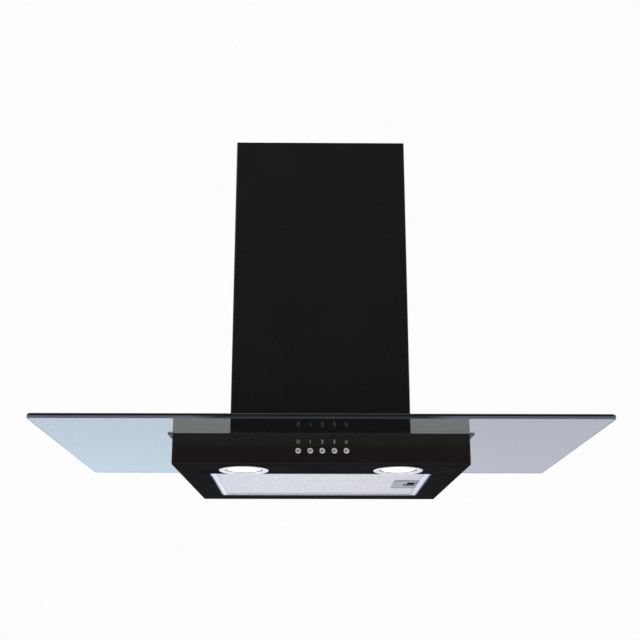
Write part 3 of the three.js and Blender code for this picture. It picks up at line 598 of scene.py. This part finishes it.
# Each finish: its darkest and lightest colour, its range of roughness, then grain and relief in mm.
FRONT_ENAMEL = enamel("gloss_enamel", (0.0146, 0.0103, 0.0102), (0.0168, 0.0118, 0.0116),
                      (0.19, 0.23), 1.6, 0.0012, level=0.4)
CHIMNEY_ENAMEL = enamel("chimney_enamel", (0.0114, 0.0100, 0.0104), (0.0128, 0.0110, 0.0114),
                        (0.23, 0.265), 1.6, 0.0012, level=0.35)
# Painted shade: the underside of the same sheet is given a darker colour than the front.
UNDERSIDE_ENAMEL_PAINTED_SHADE = enamel("matt_enamel_painted_shade", (0.0085, 0.0075, 0.0085), (0.0105, 0.0093, 0.0102),
                      (0.6, 0.75), 0.35, 0.008, level=0.002)
GLASS_FINISH = canopy_glass()
GLASS_EDGE = plastic("ground_glass_edge", (0.0035, 0.0080, 0.0100), (0.0060, 0.0120, 0.0145),
                     (0.10, 0.2), 0.6, 0.004)
GLASS_LOW_EDGE_PAINTED_LIGHT = painted_light_glass_edge()
SEAL_FINISH = plastic("grey_seal", (0.09, 0.10, 0.14), (0.13, 0.14, 0.19), (0.55, 0.75), 0.4)
# Painted shade: a darker colour for the faces of the seal that face the front.
SEAL_FRONT_PAINTED_SHADE = plastic("seal_front_painted_shade", (0.016, 0.016, 0.018), (0.028, 0.027, 0.03), (0.6, 0.8), 0.4)
ZINC = galvanised()
FILTER_RIM = metal("satin_aluminium", (0.62, 0.60, 0.65), (0.70, 0.67, 0.71), (0.26, 0.36), 0.4,
                   (0.05, 1, 1))
FILTER_WIRE = metal("mesh_aluminium", (0.95, 0.93, 0.95), (0.98, 0.96, 0.97), (0.34, 0.46), 1.1)
# Painted shade: a darker copy of the mesh's aluminium for the strands that lie further in.
FILTER_PAINTED_SHADE = metal("mesh_aluminium_painted_shade", (0.78, 0.76, 0.79), (0.84, 0.82, 0.84), (0.38, 0.50),
                     1.1)
# Painted shade: the core layers are the same aluminium, made darker for the shade behind the face
# mesh.
FILTER_CORE_PAINTED_SHADE = metal("core_aluminium_painted_shade", (0.46, 0.45, 0.47), (0.60, 0.59, 0.61), (0.38, 0.52), 0.9)
CHROME = metal("chrome", (0.90, 0.90, 0.91), (0.96, 0.96, 0.96), (0.05, 0.1), 2.0, depth=0.0005)
STEEL = metal("plain_steel", (0.44, 0.45, 0.47), (0.56, 0.57, 0.59), (0.24, 0.36), 0.5,
              (1, 0.08, 1))
MIRROR = metal("reflector_aluminium", (0.80, 0.80, 0.80), (0.90, 0.90, 0.89), (0.08, 0.16), 1.5)
TRAY_FINISH = plastic("grey_tray_plastic", (0.30, 0.34, 0.40), (0.36, 0.40, 0.47), (0.38, 0.5),
                      0.4, 0.012)
BLACK_PLASTIC = plastic("black_plastic", (0.011, 0.012, 0.014), (0.018, 0.019, 0.021))
FAN_PLASTIC = plastic("fan_plastic", (0.17, 0.18, 0.20), (0.24, 0.25, 0.27))
PALE_PLASTIC = plastic("pale_plastic", (0.62, 0.61, 0.56), (0.72, 0.71, 0.66), (0.35, 0.5))
CERAMIC = plastic("steatite", (0.68, 0.66, 0.58), (0.80, 0.78, 0.70), (0.5, 0.7), 0.8, 0.04)
BOARD = plastic("circuit_board_green", (0.02, 0.09, 0.04), (0.03, 0.13, 0.06), (0.2, 0.35), 3)
LEAD_FINISH = plastic("lead_sheath", (0.014, 0.014, 0.016), (0.024, 0.024, 0.027), (0.45, 0.65),
                      1.2)
INK = plastic("printed_grey", (0.42, 0.41, 0.40), (0.50, 0.49, 0.48), (0.5, 0.6), 0.3, 0.004)

# ---------------------------------------------------------------- body


def body_shell():
    """Folded sheet: the front, the sides and the underside, with holes for what it holds."""
    room = 12  # how far a cutter, or what is cut away, reaches past the shell
    aside, ahead, back = 300, -450, 50
    front_half, depth = BODY.right, BODY.front
    outline = rounded(tapered(front_half, BODY_BACK_HALF, depth, room), [BEND, BEND, 0, 0])
    outer = plate(outline, (), BODY.low, BODY.high + room, BEND, 5)
    hollow = tapered(front_half, BODY_BACK_HALF, depth, 2 * room, SHEET)
    hollow = rounded(hollow, [BEND - SHEET + 0.2] * 2 + [0, 0])
    inner = plate(hollow, (), BODY.low + SHEET, BODY.high + 2 * room, BEND - SHEET, 4)
    top = BODY.high + 3 * room
    above = brick(-aside, aside, ahead, back, BODY.high, top)
    behind = brick(-aside, aside, 0, 4 * room, BODY.low - room, top)
    half = FILTER_HALF_WIDTH + GAP
    opening = rounded(rectangle(-half, half, FILTER.front - GAP, FILTER.back + GAP), 1.5)
    tools = [plate(opening, (), BODY.low - room, BODY.low + room)]
    for side in SIDES:
        trim = Box(f"lamp_trim_{side}")
        tools.append(shift(drill(LAMP_HOLE_RADIUS, room, 64), trim.x, trim.y, BODY.low))
    for name in BUTTONS:
        button = Box(name)
        hole = laid_back(drill(BUTTON_HOLE_RADIUS, room, 48))
        tools.append(shift(hole, button.x, BODY.front, button.z))
    return carved(carved(outer, inner), above, behind, *tools)


def body_lip():
    """The flange inside the top of the walls that the deck lies on."""
    low, high = 22.3, 23.5
    width = 10
    a, b, c, d = tapered(BODY.right, BODY_BACK_HALF, BODY.front, 0, SHEET)
    e, f, g, h = tapered(BODY.right, BODY_BACK_HALF, BODY.front, 0, SHEET + width)
    return plate([d, a, b, c, g, f, e, h], (), low, high, 0.2)


def make_body():
    shell = merged(body_shell(), body_lip())
    piece = stand_in("body_shell_enamelled", shell, FRONT_ENAMEL, "body_shell")
    # Faces that point down get the darker enamel: painted shade.
    painted(piece, UNDERSIDE_ENAMEL_PAINTED_SHADE, lambda face: face.normal.z < -0.7)
    refined("top_deck", ZINC, 0.2)
    refined("back_panel", ZINC, 0.2)


def make_signs():
    """The printed figures and the lamp sign over the buttons."""
    level = 12.5
    height = 8.4
    skin = 0.05
    boldness = 0.12
    o_width = 0.78  # the letter O made narrower is a rounder zero than the typeface's own
    upright = Matrix.Rotation(math.pi / 2, 4, "X")
    parts = []
    for name, text in zip(BUTTONS, "O123"):
        curve = bpy.data.curves.new("sign", "FONT")
        curve.body = text
        curve.size = height
        curve.align_x = "CENTER"
        curve.align_y = "CENTER"
        curve.extrude = skin
        curve.offset = boldness
        item = new_object("sign", curve)
        figure = item.evaluated_get(bpy.context.evaluated_depsgraph_get()).to_mesh()
        part = as_part(figure)
        bpy.data.objects.remove(item)
        width = Matrix.Diagonal((o_width if text == "O" else 1, 1, 1, 1))
        parts.append(shift(moved(part, upright @ width), Box(name).x, BODY.front, level))
    lamp = Box(BUTTONS[-1])
    globe = lathe([(1.5, -skin), (2.4, -skin), (2.4, skin), (1.5, skin)], 32, closed=True)
    foot = brick(-0.9, 0.9, -3.1, -2.3, -skin, skin, 0.1, 0.02)
    parts.append(shift(moved(merged(globe, foot), upright), lamp.x, BODY.front, level))
    new_piece("printed_signs", new_mesh("printed_signs", merged(*parts)), INK, "hood")


# ---------------------------------------------------------------- glass canopy


def split_level(mesh, level):
    """Cuts the faces of a mesh in two at a level, so that each half can have its own material."""
    work = bmesh.new()
    work.from_mesh(mesh)
    geometry = [*work.verts, *work.edges, *work.faces]
    bmesh.ops.bisect_plane(work, geom=geometry, plane_co=(0, 0, level * MM), plane_no=(0, 0, 1))
    work.to_mesh(mesh)
    work.free()


def make_glass():
    cutout = rounded(rectangle(*CUTOUT), CUTOUT_CORNER, 8)
    outline = rectangle(GLASS.left, GLASS.right, GLASS.front, GLASS.back)
    outline = rounded(outline, GLASS_CORNER, 12)
    pane = plate(outline, [cutout], GLASS.low, GLASS.high, GLASS_ARRIS, 1)
    glass = stand_in("glass_pane", pane, GLASS_FINISH, "glass_canopy", angle=30)
    # The cut lets the low half of the edge take its painted light and painted shade.
    split_level(glass.data, GLASS.z)

    def on_edge(face):
        return abs(face.normal.z) < 0.95

    painted(glass, GLASS_EDGE, on_edge)
    # The low half of the edge gets painted light, with painted shade near the chimney.
    painted(glass, GLASS_LOW_EDGE_PAINTED_LIGHT, lambda face: on_edge(face) and face.center.z < GLASS.z * MM)
    seat = tapered(GASKET.right, GASKET_BACK_HALF, GASKET.front, GASKET.back)
    seal = plate(rounded(seat, 1.5), [cutout], GASKET.low, GASKET.high)
    seal_piece = stand_in("seat_seal", seal, SEAL_FINISH, "glass_gasket")
    # The seal's front-facing faces get the darker colour: painted shade.
    painted(seal_piece, SEAL_FRONT_PAINTED_SHADE, lambda face: face.normal.y < -0.5)
    refined("glass_clamp_frame", ZINC, 0.3)
    for i in range(1, 5):
        make_screw(f"clamp_screw_{i}")


def make_screw(node):
    """A pan-head screw with a cross recess."""
    box = Box(node)
    head = (box.right - box.left) / 2
    under = box.high - 3
    shank = 2.4
    recess, arm_half, arm_reach = 1.6, 0.5, 2.4
    profile = [(0, box.low), (shank - 0.6, box.low), (shank, box.low + 0.8), (shank, under),
               (head - 0.3, under), (head, under + 0.3), (head, under + 1.2),
               (head - 0.7, under + 2.2), (head - 2.2, under + 2.8), (0, box.high)]
    cross = [brick(-a, a, -b, b, box.high - recess, box.high + 1, 0.2)
             for a, b in ((arm_reach, arm_half), (arm_half, arm_reach))]
    part = carved(lathe(profile, 40), *cross)
    stand_in(node + "_fine", shift(part, box.x, box.y), STEEL, node)


# ---------------------------------------------------------------- grease filter


def clipped(start, along, area):
    """Where a line enters and leaves an area of (left, right, front, back), from its start."""
    low, high = -math.inf, math.inf
    for position, step, ends in zip(start, along, (area[:2], area[2:])):
        first, last = sorted((end - position) / step for end in ends)
        low, high = max(low, first), min(high, last)
    return low, high


def strands(area, notch, angle, pitch, width, low, high):
    """Parallel flat strands at an angle to X over an area, left out of a notch."""
    left, right, front, back = area
    along = Vector((math.cos(angle), math.sin(angle)))
    across = Vector((-along.y, along.x))
    side = across * width / 2
    middle = Vector(((left + right) / 2, (front + back) / 2))
    reach = int((right - left + back - front) / 2 / pitch)
    parts = []
    for k in range(-reach, reach + 1):
        start = middle + across * pitch * k
        first, last = clipped(start, along, area)
        hole_first, hole_last = clipped(start, along, notch)
        spans = [(first, last)]
        if hole_first < hole_last:
            spans = [(first, min(last, hole_first)), (max(first, hole_last), last)]
        for a, b in spans:
            if b - a < 2 * width:
                continue
            near, far = start + along * a, start + along * b
            corners = (near - side, far - side, far + side, near + side)
            rings = [[Vector((p.x, p.y, z)) for p in corners] for z in (low, high)]
            points, faces = stitched(rings)
            parts.append((points, [(3, 2, 1, 0), (4, 5, 6, 7), *faces]))
    return merged(*parts)


def expanded_mesh(area, notch, angle, pitch, width, low, high):
    """Two crossing sets of strands, one on the other, which leave diamond openings."""
    middle = (low + high) / 2
    overlap = 0.06
    return merged(
        strands(area, notch, angle, pitch, width, low, middle + overlap),
        strands(area, notch, math.pi - angle, pitch, width, middle - overlap, high),
    )


def filter_frame():
    """A folded border with fine seams at its mitres, a slit for the latch and two hinge tabs."""
    height = FILTER.high - FILTER.low
    fold = 10
    profile = [(fold, 0.9), (9.6, 0.35), (9.1, 0), (1.0, 0), (0.3, 0.3), (0, 1.0), (0, height - 1),
               (0.3, height - 0.3), (1.0, height), (fold, height), (fold, height - SHEET),
               (1.9, height - SHEET), (SHEET, height - 1.9), (SHEET, 1.9), (1.9, SHEET),
               (fold, SHEET)]
    front, back = FILTER.front, FILTER.back

    def outline(inset):
        half = FILTER_HALF_WIDTH - inset
        corners = rectangle(-half, half, front + inset, back - inset)
        return rounded(corners, max(3 - inset, 0.4), 5)

    ring = shift(rail(outline, profile), z=FILTER.low)
    slider = Box("latch_slider")
    edge = FILTER_HALF_WIDTH
    tools = [brick(edge - 5, edge + 5, slider.front - GAP, slider.back + GAP,
                   slider.high - SLIDER_PLATE - GAP, slider.high + GAP, 0.2)]
    seam = brick(-0.14, 0.14, -16, 16, -0.3, 0.22, 0.05)
    for x in (-1, 1):
        for y, turn in ((front, 45 * x), (back, -45 * x)):
            corner = Matrix.Translation((x * edge, y, FILTER.low))
            tools.append(moved(seam, corner @ Matrix.Rotation(math.radians(turn), 4, "Z")))
    middle = (front + back) / 2
    tab_half, tab_low, tab_high = 10, FILTER.low + 2.2, FILTER.low + 3.4
    tabs = [brick(FILTER.left, -edge + 0.6, y - tab_half, y + tab_half, tab_low, tab_high)
            for y in (middle - 76, middle + 76)]
    return merged(carved(ring, *tools), *tabs)


def latch_tray():
    """A finger scoop to its back edge, with a proud front lip and a stepped slot for the nub."""
    low = TRAY.low
    rim = rounded(rectangle(TRAY.left, TRAY.right, TRAY.front, TRAY.back), [2, 1, 1, 7])
    outer = plate(rim, (), low, low + TRAY_DEPTH, 0.4)
    scoop_right = 176.5
    floor = rectangle(TRAY.left + TRAY_WALL, scoop_right, TRAY.front + TRAY_WALL,
                      TRAY.back - TRAY_WALL)
    front_depth, back_depth = 3.6, 0.5
    slope = Matrix.Identity(4)
    slope[2][1] = (back_depth - front_depth) / (TRAY.back - TRAY.front)
    scoop = shift(plate(rounded(floor, [1.5, 1, 1, 6]), (), -8, front_depth), y=-TRAY.front)
    scoop = shift(moved(scoop, slope), y=TRAY.front, z=low)
    nub = Box("latch_slider")
    through = (low - 1, low + 12)
    slot = brick(NUB_LEFT - 7, NUB_RIGHT + 1, nub.front, nub.back, *through, 0.8)
    step = brick(NUB_LEFT - 1, NUB_RIGHT + 1, nub.front - 16, nub.back - 2, *through, 0.6)
    lip = brick(TRAY.left, scoop_right, TRAY.front, TRAY.front + 1.6, low - 1.3, low + 1, 0.3)
    post = brick(TRAY.left, TRAY.left + 1, nub.y - 4, nub.y + 4, low + 3, TRAY.high, 0.2)
    return merged(carved(outer, scoop, slot, step), lip, post)


def latch_slider():
    """A flat plate with a grooved nub under it."""
    box = Box("latch_slider")
    plate_low = box.high - SLIDER_PLATE
    slab = brick(box.left, box.right, box.front, box.back, plate_low, box.high, 0.3)
    nub = brick(NUB_LEFT, NUB_RIGHT, box.front + 1, box.back - 1, box.low, box.high - 0.2, 0.8)
    grooves = [brick(x - 0.6, x + 0.6, box.front + 0.6, box.back - 0.6, box.low - 0.1,
                     box.low + 1, 0.3)
               for x in (NUB_LEFT + 2.5, NUB_LEFT + 6, NUB_LEFT + 9.5)]
    return merged(slab, carved(nub, *grooves))


def make_filter():
    stand_in("filter_frame_folded", filter_frame(), FILTER_RIM, "filter_frame")
    face, core, back = (Box(f"filter_{layer}") for layer in ("mesh_face", "core", "mesh_back"))
    notch = (TRAY.left - 0.6, TRAY.right + 20, TRAY.front - 0.6, TRAY.back + 0.6)
    steep, shallow = math.radians(78), math.radians(33)

    def woven(angle, pitch, width, low, high):
        area = (face.left, face.right, face.front, face.back)
        return expanded_mesh(area, notch, angle, pitch, width, low, high)

    mesh = woven(steep, 4.4, 2.0, face.low, face.high)
    face_mesh = stand_in("filter_face_mesh", mesh, FILTER_WIRE, "filter_mesh_face",
                         angle=20)
    points = face_mesh.data.vertices
    # Faces above the lowest layer, further in from the underside, get the darker copy: painted
    # shade.
    above = (face.low + 0.1) * MM
    painted(face_mesh, FILTER_PAINTED_SHADE,
            lambda part: min(points[i].co.z for i in part.vertices) > above)
    layers = [woven(shallow, 3.4, 1.1, core.low - 1.1, core.low - 0.5),
              woven(steep, 4.4, 1.7, core.low + 0.2, core.low + 0.8)]
    # The core layers get the darker aluminium: painted shade in the depth of the filter.
    stand_in("filter_core_layers", merged(*layers), FILTER_CORE_PAINTED_SHADE, "filter_core",
             angle=20)
    stand_in("filter_back_mesh", woven(steep, 4.8, 1.8, back.low, back.high), FILTER_WIRE,
             "filter_mesh_back", angle=20)
    stand_in("latch_tray_moulded", latch_tray(), TRAY_FINISH, "latch_tray")
    stand_in("latch_slider_moulded", latch_slider(), BLACK_PLASTIC, "latch_slider")
    make_latch_spring()


def make_latch_spring():
    """A coil between the tray's post and the slider, at rest; the real spring shortens as the
    slider moves back.
    """
    spring = Box("latch_spring")
    start, end = spring.left, Box("latch_slider").left - 0.3
    wire = 0.28
    coil = (spring.high - spring.low) / 2 - wire
    turns, per_turn = 9, 18
    path = []
    for k in range(turns * per_turn + 1):
        angle = 2 * math.pi * k / per_turn
        x = start + wire + (end - start - 2 * wire) * k / (turns * per_turn)
        path.append((x, spring.y + coil * math.cos(angle), spring.z + coil * math.sin(angle)))
    piece = stand_in("latch_spring_coil", tube(path, wire, 8), STEEL, "latch_spring")
    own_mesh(piece)


# ---------------------------------------------------------------- lamps


def make_lamp(side):
    """A lamp's turned parts, from the trim up; levels count from the underside of the body."""
    trim = Box(f"lamp_trim_{side}")

    def put(name, profile, finish, node, closed=False):
        part = shift(lathe(profile, 96, closed), trim.x, trim.y, BODY.low)
        stand_in(f"{name}_{side}", part, finish, f"{node}_{side}")

    ring = [(31, -0.2), (31, -1.1), (31.3, -1.6), (32.2, -1.95), (34.5, -2.3), (37, -2.4),
            (39.4, -2.2), (40.5, -1.8), (41, -1.2), (41, -0.6), (40.6, -0.3), (35.7, -0.3),
            (35.7, 14), (34.5, 14), (34.5, 0.6), (31.2, 0.3)]
    trim_finish = spun(f"spun_trim_{side}", trim.x, trim.y, (0.60, 0.57, 0.62),
                       (0.68, 0.64, 0.69))
    put("spun_trim", ring, trim_finish, "lamp_trim", closed=True)
    lens = [(0, 0.95), (29, 0.95), (29.6, 1.2), (30.2, 1.2), (30.8, 0.9), (33.4, 0.9),
            (33.8, 1.2), (33.8, 2.8), (33.5, 3), (0, 3)]
    lens_finish = lit_lens(f"lit_lens_{side}", trim.x, trim.y)
    put("frosted_lens", lens, lens_finish, "lamp_lens")
    bowl = [(33, 3.4), (34, 3.4), (33.4, 6.5), (30, 12), (22.5, 18.6), (14, 23.6), (9, 23.6),
            (9, 22.6), (13.4, 22.4), (21.6, 17.6), (29, 11.6), (32.2, 6.2)]
    put("bright_reflector", bowl, MIRROR, "lamp_reflector", closed=True)
    bulb = [(0, 6), (1.6, 6.3), (2.9, 7.4), (3.8, 9), (4, 10.5), (4, 20), (3.4, 22), (3, 24),
            (0, 24)]
    put("halogen_bulb", bulb, MIRROR, "lamp_bulb")
    socket = [(0, 24.4), (10.2, 24.4), (11, 25.2), (11, 30), (10.2, 30.4), (10.2, 31.6),
              (11, 32), (11, 35.6), (10, 36.6), (8, 38), (0, 38)]
    put("ceramic_holder", socket, CERAMIC, "lamp_socket")


def make_transformer():
    """A small case with cooling grooves across its top."""
    box = Box("lamp_transformer")
    case = brick(box.left, box.right, box.front, box.back, box.low, box.high, 2, 1)
    pitch, half, depth = 8, 0.8, 1.2
    grooves = [brick(box.left - 2, box.right + 2, y - half, y + half, box.high - depth,
                     box.high + 3, 0.3)
               for y in range(round(box.front) + 14, round(box.back) - 10, pitch)]
    stand_in("transformer_case", carved(case, *grooves), BLACK_PLASTIC, "lamp_transformer")


# ---------------------------------------------------------------- controls


def make_button(node):
    """A chromed cap with a shallow dome, on its stem."""
    box = Box(node)
    radius = (box.right - box.left) / 2
    front = box.front
    cap_back = front + 6.4
    stem = 2.6
    ball, steps = 13.0, 8
    dome = []
    for k in range(steps + 1):
        r = (radius - 0.45) * k / steps
        dome.append((r, front + ball - math.sqrt(ball * ball - r * r)))
    edge = dome[-1][1]
    profile = [*dome, (radius - 0.12, edge + 0.22), (radius, edge + 0.6), (radius, front + 6.2),
               (radius - 0.2, cap_back), (stem, cap_back), (stem, box.back - 0.4),
               (stem - 0.4, box.back), (0, box.back)]
    part = shift(laid_back(lathe(profile, 64)), box.x, 0, box.z)
    stand_in(node + "_cap", part, CHROME, node, angle=50)


# ---------------------------------------------------------------- chimney covers


def cover(node, part_name, fold):
    """A folded cover, open to the wall, with a narrow return along each back edge."""
    box = Box(node)
    half, front, back = box.right, box.front, box.back
    inner, lip = half - SHEET, half - fold
    corners = [(-half, front), (half, front), (half, back), (lip, back), (lip, back - SHEET),
               (inner, back - SHEET), (inner, front + SHEET), (-inner, front + SHEET),
               (-inner, back - SHEET), (-lip, back - SHEET), (-lip, back), (-half, back)]
    radii = [2.4, 2.4, 1.6, 0.3, 0.3, 0.4, 1.2, 1.2, 0.4, 0.3, 0.3, 1.6]
    section = rounded([Vector(c) for c in corners], radii)
    part = plate(section, (), box.low, box.high, 0.25)
    stand_in(part_name, part, CHIMNEY_ENAMEL, node)


# ---------------------------------------------------------------- leads

# Each lead: its radius, and the points that it passes.
LEADS = {
    "motor_lead": (2.5, [(-92, -150, 203), (-94, -148, 218), (-98, -120, 248), (-98.8, -80, 268),
                         (-98.8, -62, 280), (-98.8, -62, 296)]),
    "control_lead": (2.5, [(-20, -365, -2), (-42, -345, 0), (-88, -300, 6), (-108, -255, 8),
                           (-116, -230, 16), (-118, -228, 34), (-118, -226, 80),
                           (-118, -224, 200), (-116, -190, 252), (-108, -110, 266),
                           (-105.6, -68, 271), (-105.2, -62, 281), (-105.2, -62, 296)]),
    "lamp_lead_left": (1.8, [(-128, -351, 15.3), (-118, -348, 18), (-60, -338, 18),
                             (20, -333, 18), (100, -324, 18), (170, -305, 12), (200, -285, 0),
                             (204, -263, -8)]),
    "lamp_lead_right": (1.8, [(128, -351, 15.3), (140, -352, 18), (185, -340, 15),
                              (218, -300, 8), (218, -263, 2)]),
}


def make_leads():
    for node, (radius, route) in LEADS.items():
        lead = tube(smooth_path(route), radius, 16)
        stand_in(node + "_sheath", lead, LEAD_FINISH, node)


# ---------------------------------------------------------------- what the covers hide

# Each CAD node: its finish, its slot and how far its edges are rounded.
INNER_NODES = {
    "blower_frame": (ZINC, "galvanised", 0.3),
    "wall_hanger_left": (ZINC, "galvanised", 0.4),
    "wall_hanger_right": (ZINC, "galvanised", 0.4),
    "motor_bracket": (ZINC, "galvanised", 0.3),
    "chimney_bracket": (ZINC, "galvanised", 0.3),
    "scroll_left": (BLACK_PLASTIC, "dark_plastic", 0.4),
    "scroll_right": (BLACK_PLASTIC, "dark_plastic", 0.4),
    "impeller": (FAN_PLASTIC, "fan_plastic", 0.2),
    "motor_shaft": (STEEL, "steel", 0.3),
    "motor_case": (STEEL, "steel", 0.5),
    "capacitor": (PALE_PLASTIC, "white_plastic", 0.8),
    "outlet_collar": (BLACK_PLASTIC, "dark_plastic", 0.3),
    "flap_front": (PALE_PLASTIC, "white_plastic", 0.2),
    "flap_back": (PALE_PLASTIC, "white_plastic", 0.2),
    "flap_pin": (STEEL, "steel", 0.2),
    "duct_adapter": (BLACK_PLASTIC, "dark_plastic", 0.4),
    "terminal_box": (PALE_PLASTIC, "white_plastic", 0.5),
    "terminal_box_lid": (PALE_PLASTIC, "white_plastic", 0.5),
    "cable_gland": (BLACK_PLASTIC, "dark_plastic", 0.3),
    "switch_housing": (BLACK_PLASTIC, "dark_plastic", 0.4),
    "switch_board": (BOARD, "circuit_board", 0.2),
}

# ---------------------------------------------------------------- stage, light and camera


def make_floor():
    """A pale floor that fades out before its edge."""
    level, radius = -0.95, 3.2
    mesh = bpy.data.meshes.new("floor")
    work = bmesh.new()
    bmesh.ops.create_circle(work, cap_ends=True, segments=128, radius=radius)
    work.to_mesh(mesh)
    work.free()
    floor = new_object("floor", mesh)
    floor.location = (0, -0.2, level)
    finish = Finish("pale_floor", Roughness=0.8)
    finish.colour(finish.mix(finish.noise(400), (0.80, 0.80, 0.80), (0.84, 0.84, 0.84)))
    length = finish.add("ShaderNodeVectorMath", operation="LENGTH")
    finish.link(finish.place, length.inputs[0])
    clear = finish.add("ShaderNodeBsdfTransparent")
    blend = finish.add("ShaderNodeMixShader")
    fade = finish.spread(length.outputs["Value"], 0, 1, 0.55 * radius, 0.98 * radius)
    finish.link(fade, blend.inputs["Fac"])
    finish.link(finish.shader.outputs["BSDF"], blend.inputs[1])
    finish.link(clear.outputs["BSDF"], blend.inputs[2])
    finish.output(blend.outputs["Shader"], "Surface")
    mesh.materials.append(finish.material)


def make_world():
    """White all round as seen; for light and reflections, dim in front and cool below the wall."""
    world = bpy.data.worlds.new("studio")
    bpy.context.scene.world = world
    world.use_nodes = True
    world.node_tree.nodes.clear()
    sky = Tree(world.node_tree)
    direction = sky.add("ShaderNodeTexCoord").outputs["Generated"]
    across, ahead, up = sky.split(direction)
    tilt, aside = math.radians(24), -0.1
    facing = sky.add("ShaderNodeVectorMath", operation="DOT_PRODUCT")
    facing.inputs[1].default_value = (aside, -math.cos(tilt), math.sin(tilt))
    sky.link(direction, facing.inputs[0])
    outside, inside = (math.cos(math.radians(angle)) for angle in (58, 11))
    front = sky.spread(facing.outputs["Value"], 0, 1, outside, inside)
    studio = sky.mix(front, (0.80, 0.80, 0.80), (0.10, 0.095, 0.095))
    below, behind = sky.spread(up, 0, 1, 0.02, -0.1), sky.spread(ahead, 0, 1, 0.1, 0.5)
    to_right = sky.spread(across, 0, 1, -0.2, 0.25)
    cool = sky.mix(to_right, (1.02, 1.28, 1.55), (0.83, 0.86, 1.03))
    lit = sky.mix(sky.math("MULTIPLY", below, behind), studio, cool)
    path = sky.add("ShaderNodeLightPath").outputs
    seen = sky.math("MAXIMUM", path["Is Camera Ray"], path["Is Transmission Ray"])
    background = sky.add("ShaderNodeBackground")
    sky.link(sky.mix(seen, lit, (0.98, 0.98, 0.98)), background.inputs["Color"])
    output = sky.add("ShaderNodeOutputWorld")
    sky.link(background.outputs["Background"], output.inputs["Surface"])


def make_light(name, place, target, size, power):
    light = bpy.data.lights.new(name, "AREA")
    light.shape = "DISK"
    light.size = size
    light.energy = power
    item = new_object(name, light)
    item.location = place
    aim = Vector(target) - Vector(place)
    item.rotation_euler = aim.to_track_quat("-Z", "Y").to_euler()
    item.visible_camera = False


def make_camera():
    camera = bpy.data.cameras.new("camera")
    camera.lens = 55.87
    camera.sensor_width = 36
    camera.shift_y = 0.08
    item = new_object("camera", camera)
    item.location = (-0.01809, -1.98396, -0.29972)
    pitch, yaw = 0.26563, 0.00999
    item.rotation_euler = (math.pi / 2 + pitch, 0, -yaw)
    bpy.context.scene.camera = item


# ---------------------------------------------------------------- the scene

make_camera()
make_floor()
make_world()
make_light("key", (-1.8, -1.6, 1.9), (0, -0.2, 0.2), 1.4, 22)
make_light("fill", (2.2, 1.2, 1.4), (0, -0.1, 0.3), 1.6, 14)
make_light("low_fill", (0, 0.7, -0.85), (0, -0.2, 0), 1.2, 2.2)
bpy.context.scene.view_settings.view_transform = "Standard"

make_body()
make_signs()
make_glass()
make_filter()
for lamp_side in SIDES:
    make_lamp(lamp_side)
make_transformer()
for button_name in BUTTONS:
    make_button(button_name)
cover("chimney_lower", "chimney_lower_folded", 12)
cover("chimney_upper", "chimney_upper_folded", 9.8)
make_leads()
for inner_node, (inner_finish, inner_slot, edge_width) in INNER_NODES.items():
    refined(inner_node, inner_finish, edge_width)
